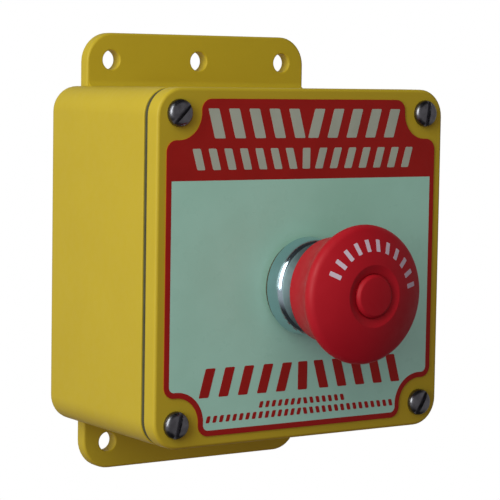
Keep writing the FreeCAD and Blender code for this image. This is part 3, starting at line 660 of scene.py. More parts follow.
SPRING_STEEL = Finish(
    "spring_steel", (0.42, 0.42, 0.43), (0.33, 0.33, 0.34), (0.28, 0.40),
    patches=400.0, grain=6000.0, depth=0.003 * MM, metallic=1.0,
)
BRASS = Finish(
    "brass", (0.70, 0.50, 0.20), (0.60, 0.40, 0.14), (0.28, 0.42),
    patches=250.0, grain=4000.0, depth=0.004 * MM, metallic=1.0,
)
# Black rubber lifted to a warm dark olive: partly its own dark colour, partly painted shade of the yellow
# seam in which the cover's gasket shows.
RUBBER = Finish(
    "black_rubber", (0.075, 0.070, 0.042), (0.055, 0.052, 0.032), (0.70, 0.85),
    patches=200.0, grain=3500.0, depth=0.015 * MM, specular=0.3,
)
# The bead's rubber, brightened to olive: painted shade and yellow bounce of the seam's groove, on top of the
# gasket's dark colour.
PAINTED_SEAM_SHADE_RUBBER = replace(
    RUBBER, name="painted_seam_shade_rubber", colour=(0.150, 0.132, 0.022), drift=(0.128, 0.112, 0.019)
)
BLACK_NYLON = Finish(
    "black_plastic", (0.030, 0.030, 0.032), (0.022, 0.022, 0.024), (0.45, 0.60), patches=150.0, grain=3000.0
)
GREY_NYLON = replace(BLACK_NYLON, name="grey_plastic", colour=(0.20, 0.20, 0.21), drift=(0.17, 0.17, 0.18))
RED_NYLON = replace(BLACK_NYLON, name="nc_red_plastic", colour=(0.40, 0.04, 0.03), drift=(0.34, 0.03, 0.02))
GREEN_NYLON = replace(
    BLACK_NYLON, name="no_green_plastic", colour=(0.03, 0.30, 0.09), drift=(0.02, 0.25, 0.07)
)
SLOT_FINISHES = {
    finish.name: finish
    for finish in (
        YELLOW, RED, FILM, CHROME, SCREW_STEEL, OPERATOR_METAL, SPRING_STEEL, BRASS, RUBBER,
        BLACK_NYLON, GREY_NYLON, RED_NYLON, GREEN_NYLON,
    )
}


def dress(piece: Piece, finish: Finish, body: str, stands_for: Iterable[str] = ()) -> None:
    """Gives a piece its finish and its smooth flats, and ties it to the frame.

    Args:
        piece: The piece.
        finish: Its finish.
        body: The body that it moves with.
        stands_for: CAD nodes that it replaces.
    """
    piece.data.materials.clear()
    piece.data.materials.append(finish.material())
    piece.data.shade_smooth()
    piece.data.set_sharp_from_angle(angle=SHARP_ANGLE)
    piece.modifiers.new("flat_flats", "WEIGHTED_NORMAL").keep_sharp = True
    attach(piece, body)
    if stands_for:
        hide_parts(*stands_for)
    LOG.info("%s: %d faces on %s", piece.name, len(piece.data.polygons), body)


# Sub-assemblies


@dataclass(frozen=True)
class Span:
    """Reach of a CAD node as seen from the front.

    Attributes:
        half: Half of its width.
        low: Its lowest height.
        high: Its greatest height.
        back: Its nearest distance from the wall.
        front: Its greatest distance from the wall.
    """

    half: float
    low: float
    high: float
    back: float
    front: float

    @classmethod
    def of(cls, node: str) -> "Span":
        """Reads the reach of a node from the frame."""
        low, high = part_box(node)
        return cls((high.x - low.x) / 2, low.z, high.z, -high.y, -low.y)

    @property
    def middle(self) -> float:
        """Height of the node's middle."""
        return (self.low + self.high) / 2


@dataclass
class Enclosure:
    """Moulded box with drafted sides, a flange with three holes above and below, and corner bosses.

    Attributes:
        corner: Radius of the upright corners at the rim.
        wall: Thickness of the side walls.
        floor: Thickness of the back wall.
        draft: Lean of the sides, in degrees.
        back_round: Round between the sides and the back.
        rim_round: Round on the rim's inner edge and on the flanges' rear edge.
        floor_round: Round between the walls and the floor inside.
        seam: Depth and width of the step on the rim's outer edge.
        seam_round: Round on the step's edge and in its corner.
        lip_round: Round on the rim's edge inside the step.
        bead_inset: The gasket's bead, which fills the step, to the sides.
        overlap: How far the bead reaches into its neighbours.
        flange_half: Half width of the flanges.
        flange_thick: Thickness of the flanges.
        flange_corner: Corner radius of the flanges.
        flange_round: Round on the flanges' front edge.
        root_round: Hollow round where a flange meets the body.
        root_sunk: How far the hollow rounds reach into the flange and the body.
        hole_radius: Radius of the wall holes.
        hole_step: Hole to hole along a flange.
        hole_inset: Hole to the flange's free edge.
        hole_flare: Round at the mouth of a hole.
        boss_radius: Radius of the corner bosses.
        bore_radius: Radius of the bores for the inserts.
        bore_depth: Depth of those bores.
        boss_inset: Boss to the body's side.
    """

    corner: float = 8.2 * MM
    wall: float = 3.4 * MM
    floor: float = 4.0 * MM
    draft: float = 0.6
    back_round: float = 3.0 * MM
    rim_round: float = 0.9 * MM
    floor_round: float = 2.7 * MM
    seam: float = 0.6 * MM
    seam_round: float = 0.3 * MM
    lip_round: float = 0.1 * MM
    bead_inset: float = 0.35 * MM
    overlap: float = 0.02 * MM
    flange_half: float = 40.5 * MM
    flange_thick: float = 4.3 * MM
    flange_corner: float = 9.0 * MM
    flange_round: float = 0.8 * MM
    root_round: float = 1.9 * MM
    root_sunk: float = 0.6 * MM
    hole_radius: float = 3.0 * MM
    hole_step: float = 31.9 * MM
    hole_inset: float = 8.25 * MM
    hole_flare: float = 0.4 * MM
    boss_radius: float = 5.4 * MM
    bore_radius: float = 2.8 * MM
    bore_depth: float = 9.0 * MM
    boss_inset: float = 7.2 * MM

    def __post_init__(self) -> None:
        """Reads the main sizes from the frame."""
        span = Span.of("enclosure_body")
        self.half = Span.of("front_cover").half
        self.rim = span.front
        self.top = span.high
        self.lean = math.tan(math.radians(self.draft))

    def shell(self) -> Piece:
        """The open box: a profile carried round the square, from the back to the hollow's floor.

        Returns:
            The new object.
        """
        step = self.rim - self.seam
        corners = [
            (self.half, 0.0, 0.0),
            (self.rim * self.lean, 0.0, self.back_round),
            (0.0, step, self.seam_round),
            (self.seam, step, self.seam_round),
            (self.seam, self.rim, self.lip_round),
            (self.wall, self.rim, self.rim_round),
            (self.wall, self.floor, self.floor_round),
            (self.half, self.floor, 0.0),
        ]
        return carry("enclosure_shell", corners, (self.half, self.half), self.corner)

    def plate(self) -> Piece:
        """The plate that makes both flanges: a profile carried round a rectangle.

        Returns:
            The new object.
        """
        corners = [
            (self.flange_half, 0.0, 0.0),
            (0.0, 0.0, self.rim_round),
            (0.0, self.flange_thick, self.flange_round),
            (self.flange_half, self.flange_thick, 0.0),
        ]
        return carry("flange_plate", corners, (self.flange_half, self.top), self.flange_corner)

    def roots(self) -> Piece:
        """Hollow rounds along both flanges: a triangle with a hollow long side, drawn out along x.

        Returns:
            The new object.
        """
        radius = self.root_round
        wall_up = self.half - (self.rim - self.flange_thick) * self.lean
        tip_up, tip_out = wall_up + radius, self.flange_thick + radius
        sunk_up, sunk_out = wall_up - self.root_sunk, self.flange_thick - self.root_sunk
        bow = arc((tip_up, tip_out), radius, 180.0, 270.0, steps=8)
        section = np.concatenate([bow, [(tip_up, sunk_out), (sunk_up, sunk_out), (sunk_up, tip_out)]])
        ends = (self.flange_half - self.flange_round) * BOTH_SIDES
        x = np.broadcast_to(ends[:, None], (2, len(section)))
        upper = np.stack([x, *np.broadcast_to(section.T[:, None], (2, 2, len(section)))], axis=2)
        return extrude("flange_roots", np.stack([upper, upper * np.array([1.0, -1.0, 1.0])]))

    def holes(self) -> Piece:
        """Tools for the wall holes: shafts whose ends flare in a round, so that the mouths are soft.

        Returns:
            The new object.
        """
        flare, thick = self.hole_flare, self.flange_thick
        wide = self.hole_radius + flare
        profile = np.concatenate([
            [(0.0, -BEYOND), (wide, -BEYOND)],
            arc((wide, flare), flare, 270.0, 180.0, steps=6),
            arc((wide, thick - flare), flare, 180.0, 90.0, steps=6),
            [(wide, thick + BEYOND), (0.0, thick + BEYOND)],
        ])
        row = np.arange(-1, 2) * self.hole_step
        line = (self.top - self.hole_inset) * BOTH_SIDES
        return turn_all("wall_hole_tools", np.stack(np.meshgrid(row, line), axis=2).reshape(-1, 2), profile)

    def corner_places(self) -> Array:
        """The four cover screws' places, as x and up."""
        at = (self.half - self.boss_inset) * BOTH_SIDES
        return np.stack(np.meshgrid(at, at), axis=2).reshape(-1, 2)

    def posts(self, name: str, radius: float, low: float, high: float) -> Piece:
        """Upright cylinders at the cover screws' places.

        Args:
            name: Name of the piece.
            radius: Radius of the cylinders.
            low: Where they start.
            high: Where they end.

        Returns:
            The new object.
        """
        profile = np.array([(0.0, low), (radius, low), (radius, high), (0.0, high)])
        return turn_all(name, self.corner_places(), profile)

    def bead(self) -> Piece:
        """The gasket's bead in the rim's step, olive with painted seam shade over its own dark colour: a
        closed profile carried round the square.

        Returns:
            The new object.
        """
        inner, outer, soft = self.seam + self.overlap, self.bead_inset, self.overlap
        low, high = self.rim - self.seam - self.overlap, self.rim + self.overlap
        corners = [(outer, low, soft), (inner, low, soft), (inner, high, soft), (outer, high, soft)]
        return carry("gasket_bead_painted_shade", corners, (self.half, self.half), self.corner, steps=2, ring=True)

    def build(self) -> None:
        """Joins the shell, flanges, roots and bosses, cuts the holes, and lays the bead."""
        bosses = self.posts("corner_bosses", self.boss_radius, self.floor / 2, self.rim)
        bore_floor = self.rim - self.bore_depth
        bores = self.posts("insert_bore_tools", self.bore_radius, bore_floor, self.rim + BEYOND)
        piece = self.shell()
        for tool in (self.plate(), self.roots(), bosses):
            merge(piece, tool, Merge.JOIN)
        for tool in (self.holes(), bores):
            merge(piece, tool, Merge.CUT)
        dress(piece, YELLOW, "station", ["enclosure_body"])
        # The bead's olive is painted shade and yellow bounce of the seam, over the gasket's own dark colour.
        dress(self.bead(), PAINTED_SEAM_SHADE_RUBBER, "station")


@dataclass
class Cover:
    """Lid with a rounded front edge, a hollow back and the operator's hole.

    Attributes:
        corner: Radius of the upright corners.
        edge_round: Round on the front edge.
        rear_round: Round on the rear edges.
        wall: Width of the rear rim.
        panel: Thickness of the front wall.
        shoulder: Width of the flat strip inside the front edge.
        hole: Radius of the operator's hole.
    """

    corner: float = 8.2 * MM
    edge_round: float = 1.0 * MM
    rear_round: float = 0.9 * MM
    wall: float = 3.4 * MM
    panel: float = 4.0 * MM
    shoulder: float = 5.0 * MM
    hole: float = 11.15 * MM

    def build(self) -> None:
        """Carries a profile round the square, and on across the face to the hole, as a closed ring."""
        span = Span.of("front_cover")
        axis_up = Span.of("mushroom_head").middle
        back = Span.of("cover_gasket").front
        face, inside = span.front, span.front - self.panel
        corners = [
            (self.wall + self.shoulder, inside, 0.0),
            (self.wall, inside, self.rear_round),
            (self.wall, back, self.rear_round),
            (0.0, back, self.rear_round),
            (0.0, face, self.edge_round),
            (self.shoulder, face, 0.0),
        ]
        inset, out = soften(corners, steps=8).T
        half = span.half - inset
        square = round_boxes(half, half, self.corner - inset, side_steps=32)
        circle = facing_circle(square[-1], axis_up, self.hole)
        loops = np.concatenate([square, np.stack([circle, circle])])
        piece = surface("cover_lid", with_out(loops, np.concatenate([out, [face, inside]])), ring=True)
        dress(piece, YELLOW, "station", ["front_cover"])


@dataclass(frozen=True)
class Row:
    """A printed row of plain bars.

    Attributes:
        name: Name of the piece.
        count: Number of bars.
        reach: Half length of the row, in millimetres.
        low: Lower edge of the row, in millimetres.
        high: Upper edge of the row, in millimetres.
        fill: Share of the row that is printed.
        ink: Finish of the bars.
    """

    name: str
    count: int
    reach: float
    low: float
    high: float
    fill: float
    ink: Finish


@dataclass
class Label:
    """Printed label: a thin sheet with a round notch at each screw, and its print as thin layers of ink.

    Attributes:
        screw_inset: Cover screw to the cover's side.
        notch: Radius of the notches.
        notch_round: Round at the ends of a notch.
        border: Width of the printed border.
        hole: Radius of the operator's hole.
        band_low: Lower edge of the printed band.
        ink: Thickness of a layer of ink.
        mark_round: Round on the corners of the printed bars.
        lean: How far a bar leans over its height.
        rows: Printed rows of bars, from the top.
    """

    screw_inset: float = 7.2 * MM
    notch: float = 7.7 * MM
    notch_round: float = 3.3 * MM
    border: float = 1.6 * MM
    hole: float = 11.5 * MM
    band_low: float = 25.1 * MM
    ink: float = 0.02 * MM
    mark_round: float = 0.35 * MM
    lean: float = 0.28
    rows: tuple[Row, ...] = (
        Row("band_bars_large", 10, 33.5, 37.1, 45.6, 0.55, PALE_INK),
        Row("band_bars_small", 15, 39.0, 28.1, 34.2, 0.52, PALE_INK),
        Row("field_bars_large", 11, 35.5, -37.2, -28.8, 0.52, RED_INK),
        Row("field_dashes_short", 14, 15.4, -41.5, -39.6, 0.55, RED_INK),
        Row("field_dashes_long", 30, 33.9, -44.6, -42.6, 0.55, RED_INK),
    )

    def __post_init__(self) -> None:
        """Reads the main sizes from the frame."""
        span = Span.of("face_label")
        self.half, self.back, self.front = span.half, span.back, span.front
        self.screw_at = Span.of("front_cover").half - self.screw_inset
        self.axis_up = Span.of("mushroom_head").middle

    def outline(self, inset: float) -> Array:
        """The label's edge, or a line inside it.

        A corner is a convex round, the concave notch about the screw, and a second round. A round's middle
        lies one round inside the edge, and one notch plus one round from the screw. The other corners are
        the first one turned by quarters.

        Args:
            inset: Distance inside the label's edge.

        Returns:
            The points, one a row.
        """
        half, at = self.half - inset, self.screw_at
        notch, soft = self.notch + inset, self.notch_round - inset
        drop = half - soft - at
        run = math.sqrt((notch + soft) ** 2 - drop**2)
        turn = math.degrees(math.atan2(drop, run))
        first = arc((half - soft, at - run), soft, 0.0, 90.0 + turn, steps=8)
        hollow = arc((at, at), notch, 270.0 + turn, 180.0 - turn, steps=20)
        last = arc((at - run, half - soft), soft, -turn, 90.0, steps=8)
        corner = np.concatenate([first, hollow[1:-1], last])
        quarters = np.arange(4) * QUARTER_TURN
        spins = np.array([[np.cos(quarters), np.sin(quarters)], [-np.sin(quarters), np.cos(quarters)]])
        return bridge(np.einsum("pa,abq->qpb", corner, spins)[None], steps=40)[0]

    def sheet(self) -> Piece:
        """The sheet itself: its edge and the hole's circle, at the back and the front, as a closed ring.

        Returns:
            The new object.
        """
        edge = self.outline(0.0)
        circle = facing_circle(edge, self.axis_up, self.hole)
        out = np.array([self.back, self.front, self.front, self.back])
        return surface("label_film", with_out(np.stack([edge, edge, circle, circle]), out), ring=True)

    def edging(self) -> Piece:
        """The printed border: a strip along the edge that also covers the sheet's side, as a closed ring.

        Returns:
            The new object.
        """
        outer, inner = self.outline(-self.ink), self.outline(self.border)
        low, high = self.front - self.ink, self.front + self.ink
        loops = np.stack([outer, outer, inner, inner])
        return surface("label_edging", with_out(loops, np.array([self.back, high, high, low])), ring=True)

    def band(self) -> Piece:
        """The printed band: the part of the label above a level, out to the middle of the border.

        The points of that line above the level are sorted by their direction from the level's middle.

        Returns:
            The new object.
        """
        edge = self.outline(self.border / 2)
        edge = edge[edge[:, 1] > self.band_low]
        edge = edge[np.argsort(np.arctan2(edge[:, 1] - self.band_low, edge[:, 0]))]
        side = edge[:, 0].max()
        outline = np.concatenate([[(side, self.band_low)], edge, [(-side, self.band_low)]])
        return prisms("label_band", outline[None], self.front - self.ink, self.front + self.ink / 2)

    def bars(self, row: Row) -> Piece:
        """A printed row of bars on both sides of the middle, which lean opposite ways.

        A point moves sideways by the lean times its height over the bar's middle.

        Args:
            row: The row.

        Returns:
            The new object.
        """
        reach, low, high = row.reach * MM, row.low * MM, row.high * MM
        half_width = row.fill * reach / row.count
        bar = bar_outline(half_width, (high - low) / 2, min(self.mark_round, half_width / 2))
        middle = np.linspace(half_width - reach, reach - half_width, row.count)
        # Rounded to a thousandth of a millimetre, so that a bar in the very middle stands upright.
        lean = self.lean * np.sign(np.round(middle / MM, 3)) * np.sign(low)
        x = middle[:, None] + bar[:, 0] + lean[:, None] * bar[:, 1]
        up = np.broadcast_to((low + high) / 2 + bar[:, 1], x.shape)
        return prisms(row.name, np.stack([x, up], axis=2), self.front, self.front + 2 * self.ink)

    def build(self) -> None:
        """Makes the sheet and its print."""
        dress(self.sheet(), FILM, "station", ["face_label"])
        dress(self.edging(), RED_INK, "station")
        dress(self.band(), RED_INK, "station")
        for row in self.rows:
            dress(self.bars(row), row.ink, "station")


@dataclass
class CoverScrews:
    """Four slotted pan-head screws.

    Attributes:
        head_radius: Radius of a head.
        crown: How far the top of a head swells.
        crown_round: Round where the swell grows steeper.
        edge_round: Round on a head's edge.
        seat_round: Round on the edges at a head's seat.
        slot_width: Width of the slot.
        slot_depth: Depth of the slot.
        slot_bevel: Bevel at the slot's mouth.
        shank_radius: Radius of the shank.
        shank: Length of shank that is shown.
        tip_round: Round on the shank's end.
        turns: Turn of each slot from upright in degrees: lower left and right, upper left and right.
    """

    head_radius: float = 4.0 * MM
    crown: float = 0.45 * MM
    crown_round: float = 2.0 * MM
    edge_round: float = 1.7 * MM
    seat_round: float = 0.1 * MM
    slot_width: float = 1.2 * MM
    slot_depth: float = 1.2 * MM
    slot_bevel: float = 0.12 * MM
    shank_radius: float = 1.95 * MM
    shank: float = 4.0 * MM
    tip_round: float = 0.3 * MM
    turns: tuple[float, ...] = (14.0, 30.0, 45.0, 8.0)

    def head(self, height: float) -> Piece:
        """One screw on the axis: its profile turned, and the slot cut across it.

        Args:
            height: Height of the head over its seat.

        Returns:
            The new object.
        """
        shoulder = height - self.crown
        # Half way to the edge the swell has lost a quarter of its height.
        corners = [
            (0.0, -self.shank, 0.0),
            (self.shank_radius, -self.shank, self.tip_round),
            (self.shank_radius, 0.0, self.seat_round),
            (self.head_radius, 0.0, self.seat_round),
            (self.head_radius, shoulder, self.edge_round),
            (self.head_radius / 2, height - self.crown / 4, self.crown_round),
            (0.0, height, 0.0),
        ]
        piece = surface("cover_screw_heads", lathe(soften(corners, steps=8), 0.0, columns=72))
        wide, bevel = self.slot_width / 2, self.slot_bevel
        right = [
            (wide, height - self.slot_depth),
            (wide, shoulder - bevel),
            (wide + bevel, shoulder + bevel),
            (wide + bevel, height + BEYOND),
        ]
        section = np.array(right + [(-x, out) for x, out in reversed(right)])
        ends = (self.head_radius + BEYOND) * BOTH_SIDES
        up = np.broadcast_to(ends[:, None], (2, len(section)))
        x, out = np.broadcast_to(section.T[:, None], (2, 2, len(section)))
        merge(piece, extrude("slot_tool", np.stack([x, up, out], axis=2)[None]), Merge.CUT)
        return piece

    def build(self, places: Array) -> None:
        """Copies the screw to its four places, each with its own turn.

        Args:
            places: Places of the screws, as x and up.
        """
        span, face = Span.of("cover_screws"), Span.of("front_cover").front
        piece = self.head(span.front - face)
        work = bmesh.new()
        for (x, up), turn in zip(places, self.turns):
            mesh = piece.data.copy()
            spin = Matrix.Rotation(math.radians(turn), 4, "Y")
            mesh.transform(Matrix.Translation((x, -face, up)) @ spin)
            work.from_mesh(mesh)
            bpy.data.meshes.remove(mesh)
        work.to_mesh(piece.data)
        work.free()
        dress(piece, SCREW_STEEL, "station", ["cover_screws"])


@dataclass
class Bezel:
    """Chrome collar with a tapered wall, a rounded ridge and a conical front.

    Attributes:
        taper: How far the ridge lies inside the foot.
        ridge: Height of the ridge above the foot.
        ridge_round: Round on the ridge.
        bore: Radius inside the foot.
        mouth: Radius of the opening in front.
        mouth_round: Round on the mouth's front edge.
        lip: Height of the inner step.
        edge_round: Round on the other edges.
        satin_and_painted_tint_from: How squarely a face looks to the front from which on it is rougher
            chrome with a cyan painted reflection tint.
    """

    taper: float = 0.45 * MM
    ridge: float = 5.2 * MM
    ridge_round: float = 3.0 * MM
    bore: float = 12.8 * MM
    mouth: float = 10.6 * MM
    mouth_round: float = 0.3 * MM
    lip: float = 2.1 * MM
    edge_round: float = 0.15 * MM
    satin_and_painted_tint_from: float = 0.78

    def build(self) -> None:
        """Turns the collar's section about the button's axis, as a closed ring whose rough front has a
        painted reflection tint.
        """
        span = Span.of("bezel_ring")
        foot, back = span.half, span.back
        corners = [
            (self.bore, back, self.edge_round),
            (foot, back, self.edge_round),
            (foot - self.taper, back + self.ridge, self.ridge_round),
            (self.mouth, span.front, self.mouth_round),
            (self.mouth, back + self.lip, self.edge_round),
            (self.bore, back + self.lip, self.edge_round),
        ]
        profile = soften(corners, steps=8, closed=True)
        piece = surface("bezel_collar", lathe(profile, span.middle), ring=True)
        dress(piece, CHROME, "station", ["bezel_ring"])
        piece.data.materials.append(SATIN_CHROME_PAINTED_REFLECTION.material())
        normals = np.empty(3 * len(piece.data.polygons))
        piece.data.polygons.foreach_get("normal", normals)
        # Faces that look to the front get rougher chrome whose cyan tint is a painted reflection of the
        # label.
        satin_with_painted_tint = normals[1::3] < -self.satin_and_painted_tint_from
        piece.data.polygons.foreach_set("material_index", satin_with_painted_tint.astype(np.int32))


@dataclass
class Head:
    """Red mushroom head: concave flank, rounded rim, domed front with a ring groove, and the disc inside it.

    Attributes:
        skirt: Radius of the back edge.
        skirt_wall: Wall at the back edge.
        rise: Back edge to the middle of the rim's round.
        rim_round: Round of the rim.
        dome: Radius of the domed front.
        disc_gap: Disc to its recess.
        disc_bevel: Width of the bevel on the disc's edge.
        disc_lead: Length of the profile's straight run before the bevel.
        groove_width: Width of the groove's outer slope.
        groove_depth: Depth of the groove.
        groove_lead: Length of the profile's straight run before the groove.
        groove_soft: Round on the groove's edges.
        edge_soft: Round on the back edge, in the groove and at the hub.
        inner_soft: Round on the edges inside and under the disc.
        hollow_drop: Hollow below the rim's middle.
        hub: Radius of the hub.
        bore: Radius inside the hub.
        mark_radius: Middle of the printed bars to the axis.
        mark_size: Half width and half length of a bar.
        mark_round: Round on a bar's corners.
        mark_arc: First and last direction of the bars, in degrees.
        mark_count: Number of bars.
        ink: Thickness of the print.
    """

    skirt: float = 15.4 * MM
    skirt_wall: float = 2.2 * MM
    rise: float = 14.2 * MM
    rim_round: float = 2.6 * MM
    dome: float = 42.9 * MM
    disc_gap: float = 0.1 * MM
    disc_bevel: float = 0.7 * MM
    disc_lead: float = 1.0 * MM
    groove_width: float = 2.6 * MM
    groove_depth: float = 0.8 * MM
    groove_lead: float = 1.2 * MM
    groove_soft: float = 0.6 * MM
    edge_soft: float = 0.25 * MM
    inner_soft: float = 0.1 * MM
    hollow_drop: float = 1.9 * MM
    hub: float = 7.5 * MM
    bore: float = 4.0 * MM
    mark_radius: float = 14.3 * MM
    mark_size: Pair = (0.66 * MM, 1.7 * MM)
    mark_round: float = 0.2 * MM
    mark_arc: Pair = (154.0, 10.0)
    mark_count: int = 11
    ink: float = 0.06 * MM

    def __post_init__(self) -> None:
        """Reads the main places from the frame."""
        head, disc = Span.of("mushroom_head"), Span.of("head_cap")
        self.radius, self.back, self.axis_up = head.half, head.back, head.middle
        self.disc_radius, self.disc_back, self.top = disc.half, disc.back, disc.front
        self.dome_middle = self.top - self.dome

    def dome_at(self, radius: Array) -> Array:
        """The dome's distance from the wall: its middle plus the root of the squares' difference."""
        return self.dome_middle + np.sqrt(self.dome**2 - np.asarray(radius) ** 2)

    def dome_turn(self, radius: float) -> float:
        """Direction, in degrees, from the dome's middle to its point at a radius."""
        return math.degrees(math.acos(radius / self.dome))

    def shell(self) -> Piece:
        """The head: flank, rim and dome as tangent arcs, then the groove and the inside, turned.

        The flank's middle is level with the back edge, and both radii away from the middle of the rim's
        round. The rim's arc ends on the line from the dome's middle through its own.

        Returns:
            The new object.
        """
        rim, rim_out = self.radius - self.rim_round, self.back + self.rise
        inset = rim - self.skirt
        flank = (self.rise**2 + inset**2 - self.rim_round**2) / (2 * (self.rim_round + inset))
        lean = math.degrees(math.atan2(self.rise, flank - inset))
        lift = math.degrees(math.atan2(rim_out - self.dome_middle, rim))
        recess = self.disc_radius + self.disc_gap
        groove = recess + self.groove_width
        dome_end = groove + self.groove_lead
        crest = float(self.dome_at(groove))
        hollow = rim_out - self.hollow_drop
        hub_back = hollow - self.skirt_wall
        inner = self.skirt - self.skirt_wall
        skirt = [
            (inner, hollow, 0.0),
            (inner, self.back, self.edge_soft),
            (self.skirt, self.back, self.edge_soft),
            (self.skirt, self.back + 2 * self.edge_soft, 0.0),
        ]
        inside = [
            (dome_end, float(self.dome_at(dome_end)), 0.0),
            (groove, crest, self.groove_soft),
            (recess, crest - self.groove_depth, self.edge_soft),
            (recess, self.disc_back, self.inner_soft),
            (self.bore, self.disc_back, self.inner_soft),
            (self.bore, hub_back, self.inner_soft),
            (self.hub, hub_back, self.inner_soft),
            (self.hub, hollow, self.edge_soft),
            (inner, hollow, 0.0),
        ]
        # The first two points of the flank lie beside the round of the back edge, and are left out.
        profile = np.concatenate([
            soften(skirt),
            arc((self.skirt + flank, self.back), flank, 180.0, 180.0 - lean, steps=32)[2:],
            arc((rim, rim_out), self.rim_round, -lean, lift, steps=24)[1:],
            arc((0.0, self.dome_middle), self.dome, lift, self.dome_turn(dome_end), steps=32)[1:-1],
            soften(inside)[:-1],
        ])
        return surface("head_shell", lathe(profile, self.axis_up, columns=180), ring=True)

    def disc(self) -> Piece:
        """The disc in the head's recess: the dome's arc, a soft bevel and a plain back, turned.

        Returns:
            The new object.
        """
        edge = self.disc_radius - self.disc_bevel
        crest = float(self.dome_at(edge))
        start = edge - self.disc_lead
        crown = arc((0.0, self.dome_middle), self.dome, 90.0, self.dome_turn(start), steps=16)
        crown[0, 0] = 0.0
        rest = soften([
            (start, float(self.dome_at(start)), 0.0),
            (edge, crest, self.groove_soft),
            (self.disc_radius, crest - self.groove_depth, self.inner_soft),
            (self.disc_radius, self.disc_back, self.inner_soft),
            (0.0, self.disc_back, 0.0),
        ])
        return surface("head_disc", lathe(np.concatenate([crown, rest[1:]]), self.axis_up))

    def bars(self) -> Piece:
        """Plain radial bars printed on the dome, spaced evenly along an arc above the groove.

        An upright bar is moved out to the arc and turned by its direction, and follows the dome.

        Returns:
            The new object.
        """
        bar = bar_outline(*self.mark_size, self.mark_round)
        turns = np.radians(np.linspace(*self.mark_arc, self.mark_count))[:, None]
        along, across = self.mark_radius + bar[:, 1], bar[:, 0]
        x = along * np.cos(turns) - across * np.sin(turns)
        up = along * np.sin(turns) + across * np.cos(turns)
        level = self.dome_at(np.hypot(x, up))
        outlines = np.stack([x, up + self.axis_up], axis=2)
        return prisms("head_bars", outlines, level - self.ink, level + self.ink)

    def build(self) -> None:
        """Makes the head, its disc and its print."""
        dress(self.shell(), RED, "button", ["mushroom_head"])
        dress(self.disc(), RED, "button", ["head_cap"])
        dress(self.bars(), WHITE_INK, "button")


@dataclass
class Springs:
    """Coil springs of the two contact blocks, which shorten as the button is pushed.

    Attributes:
        wire: Radius of the wire.
        turns: Turns of a coil.
        end_gap: Back end of a coil to the wall behind it.
        steps: Points along a turn.
        columns: Points round the wire.
    """

    wire: float = 0.25 * MM
    turns: int = 5
    end_gap: float = 0.25 * MM
    steps: int = 32
    columns: int = 10

    def coil(self, name: str, middle: Pair, span: Span) -> Piece:
        """A round wire along a helix, closed at both ends.

        The wire's middle turns about the axis while it moves out. A point lies one wire radius from it,
        along the cosine of its angle times the helix's outward line plus the sine times the line square
        to both.

        Args:
            name: Name of the piece.
            middle: The axis, as x and up.
            span: Reach of the coil.

        Returns:
            The new object.
        """
        share = np.linspace(0.0, 1.0, self.turns * self.steps + 1)[:, None]
        turn = FULL_TURN * self.turns * share
        radius, rise = span.half - self.wire, span.front - span.back - 2 * self.wire
        outward = np.concatenate([np.cos(turn), np.sin(turn), 0 * turn], axis=1)
        slope = rise / (FULL_TURN * self.turns * radius)
        ahead = np.concatenate([-np.sin(turn), np.cos(turn), 0 * turn + slope], axis=1)
        square = np.cross(outward, ahead / np.linalg.norm(ahead, axis=1, keepdims=True))
        line = radius * outward + np.array([*middle, span.back + self.wire])
        line[:, 2:] += rise * share
        angle = np.arange(self.columns) * (FULL_TURN / self.columns)
        ring = np.cos(angle)[:, None] * outward[:, None] + np.sin(angle)[:, None] * square[:, None]
        ends = np.broadcast_to(line[[0, -1], None], (2, self.columns, 3))
        tube = line[:, None] + self.wire * ring
        return surface(name, np.concatenate([ends[:1], tube, ends[1:]]))

    def build(self, record: dict) -> None:
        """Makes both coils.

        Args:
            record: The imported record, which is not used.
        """
        for kind in ("nc", "no"):
            node, joint = f"{kind}_spring", f"{kind}_slide"
            low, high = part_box(node)
            span = Span.of(node)
            middle = ((low.x + high.x) / 2, span.middle)
            piece = self.coil(f"{kind}_coil", middle, span)
            dress(piece, SPRING_STEEL, "station", [node])
            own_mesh(piece)


# Stage


@dataclass(frozen=True)
class Lamp:
    """An upright soft light.

    Attributes:
        name: Name of the light.
        place: Where it stands, in metres.
        width: Its width.
        height: Its height.
        power: Power in watts.
        colour: Colour of its light.
        mirrored: Whether shiny surfaces show it.
    """

    name: str
    place: Triple
    width: float
    height: float
    power: float
    colour: Triple
    mirrored: bool = True

    def build(self, target: Vector) -> None:
        """Hangs the light so that it looks at a point.

        Args:
            target: The point.
        """
        data = bpy.data.lights.new(self.name, "AREA")
        data.shape = "RECTANGLE"
        data.size, data.size_y = self.width, self.height
        data.energy, data.color = self.power, self.colour
        lamp = bpy.data.objects.new(self.name, data)
        lamp.location = self.place
        lamp.visible_glossy = self.mirrored
        lamp.rotation_euler = (target - Vector(self.place)).to_track_quat("-Z", "Y").to_euler()
        bpy.context.scene.collection.objects.link(lamp)


@dataclass(frozen=True)
class Ramp:
    """A number that changes smoothly with the direction in which the room is seen.

    Attributes:
        axis: Part of the direction that it depends on.
        reach: Where the change starts and ends, between -1 and 1.
        values: The number at the start and at the end.
    """

    axis: Axis
    reach: Pair
    values: Pair


